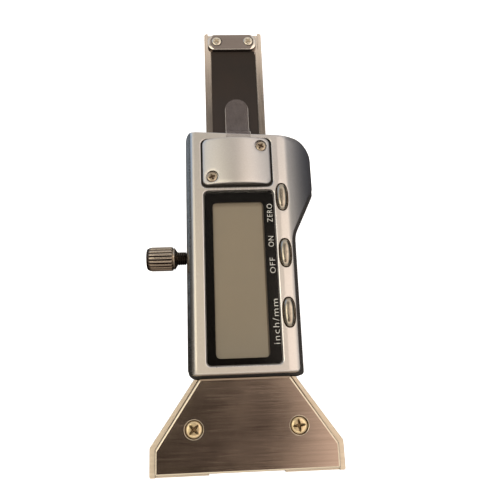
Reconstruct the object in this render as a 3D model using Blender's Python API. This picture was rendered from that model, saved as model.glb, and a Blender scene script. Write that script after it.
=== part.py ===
# Digital depth gauge: a display slider with a trapezoid measuring base, running on a short
# 16 mm caliper beam.  Design units are millimetres; the model is placed in metres.
#   X: across the beam, to the right when the display faces the viewer
#   Y: along the beam, from the measuring feet to the end stop
#   Z: up out of the display; Z = 0 is the flat back of the gauge
import bpy
import bmesh
import math
from mathutils import Vector, Matrix

# ---------------------------------------------------------------- driving dimensions (mm)
BEAM_W = 16.0            # beam width
BEAM_Z0, BEAM_Z1 = 2.75, 6.25   # beam thickness 3.5
BEAM_TOP = 115.65        # upper end of the beam with the gauge at zero
FOOT_Y = -0.5            # measuring face of the feet; the pin's tip is level with it at zero
RAIL = 1.72              # width of each ground rail beside the scale channel
CHANNEL_Z = 5.05         # floor of the scale channel
MID_Z = 4.5              # mid-plane of the beam

FRONT_Z = 14.0           # display face of the housing
PART_Z = 7.5             # parting plane between silver front and black rear housing
LEFT_X, RIGHT_X = -13.2, 12.6
BOTTOM_Y = 21.2
SLOPE_X = 11.7           # where the thumb rest starts to fall away
BUMP_X = 18.85           # right edge of the thumb rest
CREST = 4.5              # how far the thumb rest falls

WIN = (-8.73, 8.40, 23.17, 65.30)      # display window recess
LCD_OPEN = (-6.60, 5.86, 24.96, 62.83)  # visible part of the display
COVER = (-8.87, 8.06, 66.55, 79.00)    # battery cover
RECESS = (-9.25, 8.48, 65.88, 79.28)   # pocket that the battery cover lies in
CELL = (-0.40, 72.74)                  # battery centre
BUTTONS = (("button_zero", 10.45, 63.46), ("button_power", 10.53, 49.26), ("button_unit", 10.61, 34.98))
COVER_SCREWS = ((-6.50, 68.86), (5.83, 76.88))
BASE_SCREWS = ((-12.03, 9.65), (12.03, 9.65))
HOUSING_SCREWS = ((-10.1, 42.1), (9.6, 42.1), (-10.1, 74.5), (9.6, 74.5))
MOUNT_SCREWS = ((-10.1, 26.6), (9.8, 26.6))
KNOB_Y = 50.9            # lock screw axis, at the beam's mid-plane
TRAVEL = 29.4            # beam travel, until the end stop meets the housing
SEAM = 0.06              # seam between fastened pieces

# the gauge's outer box, for the origin at the middle of its back
X_MIN, X_MAX = -23.5, 22.25
CX, CY = (X_MIN + X_MAX) / 2, (FOOT_Y + BEAM_TOP) / 2

for ob in list(bpy.data.objects):
    bpy.data.objects.remove(ob, do_unlink=True)
for me in list(bpy.data.meshes):
    bpy.data.meshes.remove(me)

root = bpy.data.objects.new("gauge", None)
root.location = (-CX / 1000, -CY / 1000, 0)
bpy.context.scene.collection.objects.link(root)


# ---------------------------------------------------------------- helpers
def material(name, color, metallic, rough):
    m = bpy.data.materials.new(name)
    m.use_nodes = True
    b = m.node_tree.nodes["Principled BSDF"]
    b.inputs["Base Color"].default_value = (*color, 1)
    b.inputs["Metallic"].default_value = metallic
    b.inputs["Roughness"].default_value = rough
    return m


def temp(bm, name="tmp"):
    bmesh.ops.recalc_face_normals(bm, faces=bm.faces)
    me = bpy.data.meshes.new(name)
    bm.to_mesh(me)
    bm.free()
    ob = bpy.data.objects.new(name, me)
    bpy.context.scene.collection.objects.link(ob)
    return ob


def boolean(base, cutter, op="DIFFERENCE"):
    """Cut or join in design units and keep the evaluated result."""
    mod = base.modifiers.new("bool", "BOOLEAN")
    mod.operation = op
    mod.solver = "EXACT"
    mod.object = cutter
    dg = bpy.context.evaluated_depsgraph_get()
    me = bpy.data.meshes.new_from_object(base.evaluated_get(dg))
    base.modifiers.clear()
    old = base.data
    base.data = me
    bpy.data.meshes.remove(old)
    bpy.data.objects.remove(cutter, do_unlink=True)
    return base


def cut(base, *cutters):
    for c in cutters:
        boolean(base, c)
    return base


def join(base, *more):
    for c in more:
        boolean(base, c, "UNION")
    return base


def finish(ob, name, mat, pivot=(0, 0, 0), parent=root):
    """Tidy the mesh, scale millimetres to metres and put the origin on the pivot."""
    bm = bmesh.new()
    bm.from_mesh(ob.data)
    bmesh.ops.remove_doubles(bm, verts=bm.verts, dist=0.002)
    bmesh.ops.dissolve_degenerate(bm, edges=bm.edges, dist=0.002)
    bmesh.ops.dissolve_limit(bm, angle_limit=math.radians(0.3), verts=bm.verts, edges=bm.edges)
    bmesh.ops.triangulate(bm, faces=bm.faces)
    bmesh.ops.recalc_face_normals(bm, faces=bm.faces)
    bm.transform(Matrix.Scale(0.001, 4) @ Matrix.Translation(-Vector(pivot)))
    bm.to_mesh(ob.data)
    bm.free()
    ob.name = name
    ob.data.name = name
    ob.data.materials.clear()
    ob.data.materials.append(mat)
    ob.data.shade_smooth()
    ob.data.set_sharp_from_angle(angle=math.radians(30))
    ob.location = Vector(pivot) / 1000
    ob.parent = parent
    return ob


def loop_area(pts):
    return sum(a[0] * b[1] - b[0] * a[1] for a, b in zip(pts, pts[1:] + pts[:1])) / 2


def prism(pts, z0, z1):
    """Closed straight extrusion of a plan outline."""
    bm = bmesh.new()
    lo = [bm.verts.new((x, y, z0)) for x, y in pts]
    hi = [bm.verts.new((x, y, z1)) for x, y in pts]
    bm.faces.new(lo[::-1])
    bm.faces.new(hi)
    for i in range(len(pts)):
        j = (i + 1) % len(pts)
        bm.faces.new((lo[i], lo[j], hi[j], hi[i]))
    return temp(bm)


def stack(rings):
    """Closed solid through a list of rings of 3-D points with equal counts."""
    bm = bmesh.new()
    vr = [[bm.verts.new(p) for p in ring] for ring in rings]
    bm.faces.new(vr[0][::-1])
    bm.faces.new(vr[-1])
    n = len(rings[0])
    for a, b in zip(vr, vr[1:]):
        for i in range(n):
            j = (i + 1) % n
            bm.faces.new((a[i], a[j], b[j], b[i]))
    return temp(bm)


def box(x0, x1, y0, y1, z0, z1):
    return prism([(x0, y0), (x1, y0), (x1, y1), (x0, y1)], z0, z1)


def fillet(corners, steps=4):
    """Outline with rounded corners; corners are (x, y, radius), counter-clockwise."""
    out = []
    n = len(corners)
    for i, (x, y, r) in enumerate(corners):
        p = Vector((x, y))
        a = Vector(corners[i - 1][:2])
        b = Vector(corners[(i + 1) % n][:2])
        if r <= 0:
            out.append((x, y))
            continue
        d1, d2 = (a - p).normalized(), (b - p).normalized()
        half = math.acos(max(-1, min(1, d1.dot(d2)))) / 2
        t = r / math.tan(half)
        c = p + (d1 + d2).normalized() * (r / math.sin(half))
        s, e = p + d1 * t - c, p + d2 * t - c
        a0 = math.atan2(s.y, s.x)
        da = math.atan2(e.y, e.x) - a0
        da = (da + math.pi) % (2 * math.pi) - math.pi
        k = max(2, round(steps * abs(da) / (math.pi / 2)) + 1)
        for j in range(k + 1):
            w = a0 + da * j / k
            out.append((c.x + r * math.cos(w), c.y + r * math.sin(w)))
    return out


def rrect(x0, x1, y0, y1, r, steps=4):
    return fillet([(x0, y0, r), (x1, y0, r), (x1, y1, r), (x0, y1, r)], steps)


def grow(b, d):
    return (b[0] - d, b[1] + d, b[2] - d, b[3] + d)


def circle(cx, cy, r, n=24):
    return [(cx + r * math.cos(2 * math.pi * i / n), cy + r * math.sin(2 * math.pi * i / n)) for i in range(n)]


def oval(cx, cy, a, b, n=24, p=2.5):
    """Superellipse, longer along Y."""
    out = []
    for i in range(n):
        w = 2 * math.pi * (i + 0.5) / n
        c, s = math.cos(w), math.sin(w)
        out.append((cx + a * math.copysign(abs(c) ** (2 / p), c), cy + b * math.copysign(abs(s) ** (2 / p), s)))
    return out


def cyl(cx, cy, r, z0, z1, n=24):
    return prism(circle(cx, cy, r, n), z0, z1)


def cyl_x(x0, x1, cy, cz, r, n=20):
    ob = prism(circle(0, 0, r, n), x0, x1)
    ob.data.transform(Matrix.Translation((0, cy, cz)) @ Matrix.Rotation(math.radians(90), 4, "Y"))
    # rotation about Y takes +Z to +X
    return ob


def outward(pts):
    """Unit outward normals of a counter-clockwise outline."""
    n = len(pts)
    out = []
    for i in range(n):
        a, b = Vector(pts[i - 1]), Vector(pts[(i + 1) % n])
        t = (b - a).normalized()
        out.append((t.y, -t.x))
    return out


def refine(pts, longest):
    """Split the long straight runs of an outline."""
    out = []
    for a, b in zip(pts, pts[1:] + pts[:1]):
        out.append(a)
        d = math.dist(a, b)
        k = int(d // longest)
        for j in range(1, k + 1):
            t = j / (k + 1)
            out.append((a[0] + (b[0] - a[0]) * t, a[1] + (b[1] - a[1]) * t))
    return out


def phillips(cx, cy, z, r, depth, flip=False):
    """Cross-shaped cutter for a screw head whose face is at z."""
    w = r * 0.30
    z0, z1 = (z - depth, z + 0.5) if not flip else (z - 0.5, z + depth)
    pts = []
    for q in range(4):
        a = math.radians(45 + 90 * q)
        c, s = math.cos(a), math.sin(a)
        for u, v in ((w / 2, -w / 2), (r * 0.62, -w / 2), (r * 0.62, w / 2)):
            pts.append((cx + u * c - v * s, cy + u * s + v * c))
    return prism(pts, z0, z1)


def screw(name, cx, cy, z_head, head_r, head_h, shank_r, z_tip, mat, up=True, dome=0.25, n=20):
    """Cross-head screw as one solid; up: the head faces +Z, else -Z."""
    sgn = 1 if up else -1
    prof = [(shank_r * 0.6, z_tip), (shank_r, z_tip + sgn * 0.4), (shank_r, z_head - sgn * head_h),
            (head_r, z_head - sgn * head_h), (head_r, z_head - sgn * dome), (head_r * 0.62, z_head)]
    if not up:
        prof = prof[::-1]
    rings = [[(x, y, z) for x, y in circle(cx, cy, r, n)] for r, z in prof]
    ob = stack(rings)
    cut(ob, phillips(cx, cy, z_head, head_r, min(head_h * 0.7, 0.6), flip=not up))
    return finish(ob, name, mat, (cx, cy, z_head))


# ---------------------------------------------------------------- materials
steel = material("stainless_satin", (0.62, 0.58, 0.53), 1.0, 0.32)
steel_brushed = material("stainless_brushed", (0.48, 0.41, 0.35), 1.0, 0.36)
steel_hard = material("hardened_steel", (0.42, 0.42, 0.43), 1.0, 0.22)
silver = material("silver_coat", (0.66, 0.63, 0.60), 0.75, 0.36)
black = material("black_plastic", (0.02, 0.02, 0.022), 0.0, 0.45)
film = material("scale_film", (0.045, 0.035, 0.032), 0.0, 0.6)
glass = material("window_glass", (0.02, 0.018, 0.016), 0.0, 0.08)
mask_ink = material("mask_ink", (0.012, 0.010, 0.009), 0.0, 0.25)
lcd = material("lcd_reflector", (0.26, 0.22, 0.16), 0.0, 0.35)
board = material("circuit_board", (0.05, 0.16, 0.07), 0.0, 0.5)
fibre = material("scale_board", (0.10, 0.14, 0.08), 0.0, 0.5)
brass = material("brass", (0.72, 0.55, 0.28), 1.0, 0.28)
gilt = material("yellow_zinc", (0.70, 0.60, 0.42), 1.0, 0.25)
chrome = material("chrome", (0.70, 0.66, 0.60), 1.0, 0.1)
nickel = material("nickel", (0.55, 0.49, 0.43), 1.0, 0.22)
rubber = material("silicone", (0.30, 0.30, 0.31), 0.0, 0.7)
pad_rubber = material("zebra_rubber", (0.32, 0.22, 0.22), 0.0, 0.7)
white_plastic = material("holder_plastic", (0.55, 0.55, 0.52), 0.0, 0.5)
clear_film = material("clear_film", (0.34, 0.31, 0.31), 0.0, 0.3)
cell_steel = material("cell_steel", (0.60, 0.60, 0.60), 1.0, 0.2)
plate_alu = material("rear_label_plate", (0.58, 0.58, 0.57), 1.0, 0.4)


# ---------------------------------------------------------------- beam group
def make_beam():
    h = BEAM_W / 2
    # lower end: shoulders narrow to a short tongue that carries the measuring pin
    body = prism([(-2.6, 7.2), (2.6, 7.2), (2.6, 10.2), (h - 0.4, 14.2), (h, 14.7), (h, BEAM_TOP - 0.5),
                  (h - 0.5, BEAM_TOP), (-h + 0.5, BEAM_TOP), (-h, BEAM_TOP - 0.5), (-h, 14.7),
                  (-h + 0.4, 14.2), (-2.6, 10.2)], BEAM_Z0, BEAM_Z1)
    # milled channel for the scale
    cut(body, box(-h + RAIL, h - RAIL, 20.0, 109.6, CHANNEL_Z, BEAM_Z1 + 1))
    # shallow seat for the end stop, open at the top end
    cut(body, prism(rrect(-6.95, 6.95, 109.2, BEAM_TOP + 4, 1.9, 4), 5.35, BEAM_Z1 + 1))
    # blind hole for the pin, holes for the end stop screws
    pin = prism(circle(0, 0, 0.9 + 0.04, 16), 0, 10.0)
    pin.data.transform(Matrix.Translation((0, 14.0, MID_Z)) @ Matrix.Rotation(math.radians(90), 4, "X"))
    cut(body, pin)
    for x in (-4.4, 4.4):
        cut(body, cyl(x, 112.85, 0.88, BEAM_Z0 - 1, BEAM_Z1 + 1, 16))
    return finish(body, "beam", steel, (0, 0, MID_Z))


def make_scale():
    a = BEAM_W / 2 - RAIL - 0.12
    b = box(-a, a, 20.3, 109.1, CHANNEL_Z + 0.05, CHANNEL_Z + 0.60)
    finish(b, "scale_board", fibre, (0, 60, CHANNEL_Z))
    c = box(-a, a, 20.3, 109.1, CHANNEL_Z + 0.65, CHANNEL_Z + 0.85)
    finish(c, "scale_cover_film", film, (0, 60, CHANNEL_Z))


def make_end_stop():
    pts = rrect(-6.72, 6.42, 110.5, 115.2, 1.75, 5)
    nrm = outward(pts)
    rings = [[(x, y, 5.42) for x, y in pts], [(x, y, 6.55) for x, y in pts]]
    rings.append([(x - nx * 0.30, y - ny * 0.30, 6.82) for (x, y), (nx, ny) in zip(pts, nrm)])
    ob = stack(rings)
    for x in (-4.4, 4.4):
        cut(ob, cyl(x, 112.85, 0.88, 5, 8, 16))
        cut(ob, cyl(x, 112.85, 1.42, 6.35, 8, 20))
    finish(ob, "end_stop_plate", steel, (0, 112.85, 6.8))
    for name, x in (("end_stop_screw_left", -4.4), ("end_stop_screw_right", 4.4)):
        screw(name, x, 112.85, 6.98, 1.32, 0.55, 0.78, 3.0, gilt)


def make_pin():
    prof = [(0.55, FOOT_Y), (0.9, FOOT_Y + 0.5), (0.9, 13.7)]
    ob = stack([[(x, y, z) for x, y in circle(0, 0, r, 16)] for r, z in prof])
    # the pin runs from its tip, flush with the feet, into the beam's tongue
    ob.data.transform(Matrix.Translation((0, 0, MID_Z)) @ Matrix.Rotation(math.radians(-90), 4, "X"))
    finish(ob, "measuring_pin", steel_hard, (0, 0, MID_Z))


# ---------------------------------------------------------------- slider: frame and guides
def make_slider_frame():
    fr = box(-11.4, 11.4, 22.55, 77.1, 2.72, 7.35)
    cut(fr, box(-8.85, BEAM_W / 2 + 0.06, 20, 80, 1, 6.35))
    cut(fr, prism(rrect(-6.0, 6.0, 29.0, 62.0, 1.0, 3), 5, 9))
    for x, y in HOUSING_SCREWS:
        cut(fr, cyl(x, y, 1.05, 1, 9, 16))
    for x, y in MOUNT_SCREWS:
        cut(fr, cyl(x, y, 1.04, 1, 6.0, 16))
    cut(fr, cyl_x(-14, -8.2, KNOB_Y, MID_Z, 1.53, 20))
    for y in (36.2, 65.4):
        cut(fr, cyl_x(-14, -8.2, y, MID_Z, 1.05, 16))
    return finish(fr, "slider_frame", steel, (0, 50, 5))


def make_guides():
    rp = prism(rrect(-11.4, 11.4, 22.55, 77.1, 0.6, 2), 1.42, 2.64)
    for x, y in HOUSING_SCREWS + MOUNT_SCREWS:
        cut(rp, cyl(x, y, 1.12, 0, 4, 16))
    finish(rp, "rear_guide_plate", steel, (0, 50, 2))
    gib = box(-8.74, -8.07, 24.5, 75.0, 2.95, 6.15)
    finish(gib, "gib_strip", brass, (-8.4, 50, MID_Z))
    for name, y in (("gib_screw_lower", 36.2), ("gib_screw_upper", 65.4)):
        s = prism(circle(0, 0, 0.98, 16), 0, 2.35)
        slot = box(-0.16, 0.16, -1.5, 1.5, -0.5, 0.5)
        cut(s, slot)
        s.data.transform(Matrix.Translation((-11.25, y, MID_Z)) @ Matrix.Rotation(math.radians(90), 4, "Y"))
        finish(s, name, steel_hard, (-11.25, y, MID_Z))
    pad = prism(circle(0, 0, 1.25, 16), 0, 0.85)
    pad.data.transform(Matrix.Translation((-9.92, KNOB_Y, MID_Z)) @ Matrix.Rotation(math.radians(90), 4, "Y"))
    finish(pad, "lock_pad", brass, (-9.92, KNOB_Y, MID_Z))


def make_thumb_screw():
    ribs = 20
    n = ribs * 4
    # (x, crest radius, rib depth)
    prof = [(-23.5, 2.30, 0.0), (-23.3, 2.62, 0.06), (-22.85, 2.98, 0.26), (-22.3, 3.05, 0.30), (-17.15, 3.05, 0.30),
            (-16.85, 2.86, 0.10), (-16.7, 2.62, 0.0), (-16.45, 2.62, 0.0), (-15.85, 1.70, 0.0),
            (-13.75, 1.70, 0.0), (-13.60, 1.46, 0.0), (-10.25, 1.46, 0.0), (-10.0, 1.15, 0.0)]
    rings = []
    for x, r, d in prof:
        ring = []
        for i in range(n):
            w = 2 * math.pi * i / n
            k = i % 4
            rr = r - (d if k in (2, 3) else 0.0)
            ring.append((x, KNOB_Y + rr * math.cos(w), MID_Z + rr * math.sin(w)))
        rings.append(ring)
    ob = stack(rings)
    finish(ob, "thumb_screw", nickel, (-20.0, KNOB_Y, MID_Z))


# ---------------------------------------------------------------- housings
def front_outline(steps=4):
    # the upper edge falls slightly to the right; the thumb rest stands out at the upper right
    return fillet([(LEFT_X, BOTTOM_Y, 1.5), (RIGHT_X, BOTTOM_Y, 0.8), (RIGHT_X, 54.05, 8.0),
                   (BUMP_X, 67.17, 2.5), (BUMP_X, 78.70, 4.3), (LEFT_X, 81.45, 1.5)], steps)


def top_z(x):
    """Height of the display face: flat, then falling away over the thumb rest."""
    if x <= SLOPE_X:
        return FRONT_Z
    t = min(1.0, (x - SLOPE_X) / (BUMP_X - SLOPE_X))
    return FRONT_Z - CREST * (0.18 * t + 0.82 * t ** 1.9)


def shell_body(pts, z_bot, edge, edge_left, seg, rings_in):
    """Solid with rounded display edges and the falling thumb rest."""
    nrm = outward(pts)
    rad = []
    for (x, y), (nx, ny) in zip(pts, nrm):
        # the broad left rounding tightens towards the corners, so it never exceeds their radius
        s = max(0.0, min(1.0, min(y - BOTTOM_Y - 1.6, 79.8 - y) / 6.0))
        s = 0.5 + 0.5 * s * s * (3 - 2 * s)
        rad.append(edge + (edge_left - edge) * s * max(0.0, -nx) ** 2)
    rings = [[(x, y, z_bot) for x, y in pts]]
    inner = None
    for j in range(seg + 1):
        w = math.pi / 2 * j / seg
        ring = []
        inner = []
        for (x, y), (nx, ny), r in zip(pts, nrm, rad):
            d = r * (1 - math.cos(w))
            px, py = x - nx * d, y - ny * d
            inner.append((px, py))
            ring.append((px, py, top_z(px) - r * (1 - math.sin(w))))
        rings.append(ring)
    for t in rings_in:
        ring = []
        for px, py in inner:
            cx = min(max(px, -6.0), 11.0)
            cy = min(max(py, 28.0), 73.0)
            qx, qy = px + (cx - px) * t, py + (cy - py) * t
            ring.append((qx, qy, top_z(qx)))
        rings.append(ring)
    return stack(rings)


def make_front_housing():
    pts = refine(front_outline(3), 3.0)
    ob = shell_body(pts, PART_Z, 0.7, 2.1, 3, (0.2, 0.4, 0.6, 0.78, 0.92))
    # inner space: low under the display ledge, high under the buttons
    cut(ob, box(-11.9, 12.05, 22.4, 64.9, PART_Z - 1, 11.35))
    cut(ob, box(8.9, 12.05, 29.0, 68.3, 11.0, 12.75))
    cut(ob, box(8.9, 12.05, 64.5, 68.3, PART_Z - 1, 11.5))
    cut(ob, prism(rrect(-11.55, 12.05, 22.4, 77.35, 0.5, 2), PART_Z - 1, 8.35))
    # hollow of the thumb rest
    cut(ob, prism(fillet([(13.3, 60.5, 0.2), (14.2, 60.5, 0.2), (17.4, 67.2, 0.8), (17.4, 74.5, 1.2), (14.5, 77.0, 0.5), (13.3, 77.0, 0.2)], 3), PART_Z - 1, 9.1))
    # window pocket, ledge and display opening
    cut(ob, prism(rrect(*WIN, 1.25, 4), 12.20, 16))
    cut(ob, prism(rrect(-7.75, 7.35, 23.95, 64.3, 0.4, 2), 8, 16))
    # pocket of the battery cover and the battery well
    cut(ob, prism(rrect(*RECESS, 1.5, 4), 12.85, 17))
    cut(ob, cyl(*CELL, 6.1, PART_Z - 1, 16, 36))
    # oval button holes
    for _, x, y in BUTTONS:
        cut(ob, prism(oval(x, y, 1.60, 3.60, 28), 12, 16))
    # screw bosses beside the display
    for x, y in HOUSING_SCREWS[:2]:
        join(ob, cyl(x, y, 1.6, PART_Z, 11.6, 20))
    for x, y in HOUSING_SCREWS:
        cut(ob, cyl(x, y, 1.02, PART_Z - 1, 10.9, 16))
    for x, y in COVER_SCREWS:
        cut(ob, cyl(x, y, 0.82, 10.6, 14, 16))
    return finish(ob, "front_housing", silver, (0, 50, 10))


def rear_outline(steps=4):
    pts = fillet([(LEFT_X, 20.9, 1.5), (14.05, 20.9, 0.9), (14.05, 54.6, 8.0),
                  (19.0, 65.1, 2.2), (19.0, 78.70, 4.4), (LEFT_X, 81.45, 1.5)], steps)
    return pts


def make_rear_housing():
    pts = rear_outline(3)
    nrm = outward(pts)
    rings = []
    for z, d in ((0.0, 0.6), (0.18, 0.18), (0.6, 0.0), (PART_Z - SEAM, 0.0)):
        rings.append([(x - nx * d, y - ny * d, z) for (x, y), (nx, ny) in zip(pts, nrm)])
    ob = stack(rings)
    # room for the steel frame, from the parting plane down to the rear wall
    cut(ob, box(-11.48, 11.48, 22.45, 77.2, 1.36, 9))
    # space inside the thumb rest
    cut(ob, prism(fillet([(12.6, 57.5, 0.2), (13.6, 57.5, 0.2), (17.4, 65.8, 0.8), (17.4, 74.5, 1.2), (14.5, 77.0, 0.5), (12.6, 77.0, 0.2)], 3), 1.4, 9))
    # beam passages at both ends, and the seat of the base's tongue
    cut(ob, box(-8.6, 8.6, 15, 90, 2.45, 6.62))
    cut(ob, box(-12.2, 12.2, 15, 31.15, -1, 1.42))
    # ribs of the thumb grip, cut as grooves across its lower flank
    ax, ay, bx, by = 15.35, 57.35, 18.75, 64.55
    dx, dy = bx - ax, by - ay
    ln = math.hypot(dx, dy)
    ux, uy = dx / ln, dy / ln
    for k in range(7):
        t = 0.55 + k * 1.12
        px, py = ax + ux * t, ay + uy * t
        nx, ny = uy, -ux
        w, d = 0.30, 0.36
        tri = [(px - ux * w + nx * 0.6, py - uy * w + ny * 0.6), (px - nx * d, py - ny * d), (px + ux * w + nx * 0.6, py + uy * w + ny * 0.6)]
        if loop_area(tri) < 0:
            tri = tri[::-1]
        cut(ob, prism(tri, -1, 9))
    # lock screw and gib screw access holes in the left wall
    cut(ob, cyl_x(-15, -11, KNOB_Y, MID_Z, 1.95, 24))
    for y in (36.2, 65.4):
        cut(ob, cyl_x(-15, -11, y, MID_Z, 1.15, 16))
    # countersunk holes of the housing screws
    for x, y in HOUSING_SCREWS:
        cut(ob, cyl(x, y, 1.15, -1, 3, 16), cyl(x, y, 1.98, -1, 0.86, 24))
    # shallow seat of the rear label plate
    cut(ob, prism(rrect(-7.5, 7.5, 44.5, 72.5, 1.2, 3), -1, 0.36))
    return finish(ob, "rear_housing", black, (0, 50, 3))


def make_rear_bits():
    lp = prism(rrect(-7.35, 7.35, 44.65, 72.35, 1.05, 3), 0.06, 0.30)
    finish(lp, "rear_label_plate", plate_alu, (0, 58.5, 0.2))
    for i, (x, y) in enumerate(HOUSING_SCREWS):
        screw("housing_screw_%d" % (i + 1), x, y, 0.12, 1.85, 0.66, 0.95, 10.6, steel_hard, up=False, dome=0.2, n=16)


# ---------------------------------------------------------------- measuring base
def base_poly(half_foot, shoulder, half_top, top, y0, r=0.35):
    return fillet([(-half_foot, y0, r), (half_foot, y0, r), (half_foot, shoulder, r * 1.5), (half_top, top, 0),
                   (-half_top, top, 0), (-half_foot, shoulder, r * 1.5)], 2)


def make_base():
    # block: rim outline, with a shallow pocket that the front plate lies in
    pts = base_poly(22.25, 6.00, 12.05, 20.72, FOOT_Y, 0.3)
    blk = prism(pts, 0.0, 7.2)
    cut(blk, prism(fillet([(-20.95, -3, 0), (20.95, -3, 0), (20.95, 5.50, 0.4), (8.85, 24.0, 0), (-8.85, 24.0, 0), (-20.95, 5.50, 0.4)], 2), 6.32, 9))
    # the beam's slot, right through from the feet to the slider
    cut(blk, box(-8.85, 8.55, -2, 24, 2.60, 9))
    # tongue under the slider frame
    join(blk, prism(fillet([(-12.05, 19.5, 0), (12.05, 19.5, 0), (12.05, 31.0, 0.8), (-12.05, 31.0, 0.8)], 2), 0.0, 1.30))
    for x, y in BASE_SCREWS:
        cut(blk, cyl(x, y, 1.15, 1.6, 9, 16))
    for x, y in MOUNT_SCREWS:
        cut(blk, cyl(x, y, 1.12, -1, 3, 16), cyl(x, y, 1.80, -1, 0.78, 24))
    finish(blk, "base_block", steel, (0, 10, 3))

    # front plate, its edges chamfered
    pp = fillet([(-20.70, 0.20, 0.25), (20.70, 0.20, 0.25), (20.70, 5.42, 0.5), (10.45, 20.72, 0), (-10.45, 20.72, 0), (-20.70, 5.42, 0.5)], 2)
    nrm = outward(pp)
    rings = [[(x, y, 6.38) for x, y in pp], [(x, y, 8.75) for x, y in pp],
             [(x - nx * 0.25, y - ny * 0.25, 9.0) for (x, y), (nx, ny) in zip(pp, nrm)]]
    pl = stack(rings)
    for x, y in BASE_SCREWS:
        cut(pl, cyl(x, y, 1.15, 5, 10, 16), cyl(x, y, 2.12, 7.5, 10, 28))
    finish(pl, "base_front_plate", steel_brushed, (0, 10, 8))
    for name, (x, y) in zip(("base_screw_left", "base_screw_right"), BASE_SCREWS):
        screw(name, x, y, 8.95, 1.98, 1.35, 1.0, 2.0, gilt, dome=0.55, n=24)
    for name, (x, y) in zip(("tongue_screw_left", "tongue_screw_right"), MOUNT_SCREWS):
        screw(name, x, y, 0.12, 1.68, 0.6, 0.95, 5.6, steel_hard, up=False, dome=0.2, n=16)


# ---------------------------------------------------------------- display and electronics
def make_display():
    w = prism(rrect(*grow(WIN, -0.08), 1.17, 4), 12.60, 13.62)
    finish(w, "display_window", glass, (0, 44, 13))
    m = prism(rrect(*grow(WIN, -0.12), 1.13, 4), 12.26, 12.54)
    cut(m, prism(rrect(*LCD_OPEN, 1.1, 4), 12, 13))
    finish(m, "display_mask", mask_ink, (0, 44, 12.4))
    g = box(-7.6, 7.2, 24.1, 64.15, 10.55, 12.18)
    finish(g, "lcd_glass", lcd, (0, 44, 11))
    h = box(-7.85, 7.60, 23.6, 64.6, 8.40, 10.45)
    cut(h, box(-5.4, 5.0, 26.0, 62.2, 7, 12))
    cut(h, box(-7.3, -6.0, 25.2, 63.0, 7, 12))
    finish(h, "lcd_holder", white_plastic, (0, 44, 9))
    z = box(-7.2, -6.1, 25.3, 62.9, 8.34, 10.49)
    finish(z, "zebra_strip", pad_rubber, (-6.7, 44, 9))


def make_board():
    b = prism(rrect(-11.45, 11.95, 22.5, 77.2, 0.6, 2), 7.46, 8.26)
    for x, y in HOUSING_SCREWS[:2]:
        cut(b, cyl(x, y, 1.75, 7, 9, 20))
    cut(b, box(-13, HOUSING_SCREWS[0][0], 42.1 - 1.7, 42.1 + 1.7, 7, 9))
    for x, y in HOUSING_SCREWS[2:]:
        cut(b, cyl(x, y, 1.2, 7, 9, 16))
    finish(b, "main_circuit_board", board, (0, 50, 8))
    k = prism(rrect(9.15, 11.98, 30.6, 68.0, 0.4, 2), 8.40, 8.90)
    cut(k, cyl(*HOUSING_SCREWS[1], 1.75, 8, 10, 20))
    for _, x, y in BUTTONS:
        join(k, prism(oval(10.45, y, 0.95, 1.8, 16), 8.5, 9.5))
    finish(k, "key_mat", rubber, (10.45, 49, 8.6))


def make_buttons():
    for name, x, y in BUTTONS:
        # stem and retaining flange inside, domed cap through the oval hole
        rings = []
        for a, b, z in ((1.0, 2.2, 10.15), (1.0, 2.2, 11.1), (1.38, 4.1, 11.1), (1.38, 4.1, 12.0),
                        (1.44, 3.42, 12.05), (1.44, 3.42, 14.15), (1.30, 3.26, 14.48), (0.95, 2.8, 14.70), (0.45, 1.7, 14.80)):
            rings.append([(px, py, z) for px, py in oval(x, y, a, b, 24)])
        ob = stack(rings)
        finish(ob, name, chrome, (x, y, 14.0))


# ---------------------------------------------------------------- battery group
def cover_z(x):
    u = (x - (COVER[0] + COVER[1]) / 2) / ((COVER[1] - COVER[0]) / 2)
    return 14.02 + 1.62 * (1 - u * u)


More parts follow.
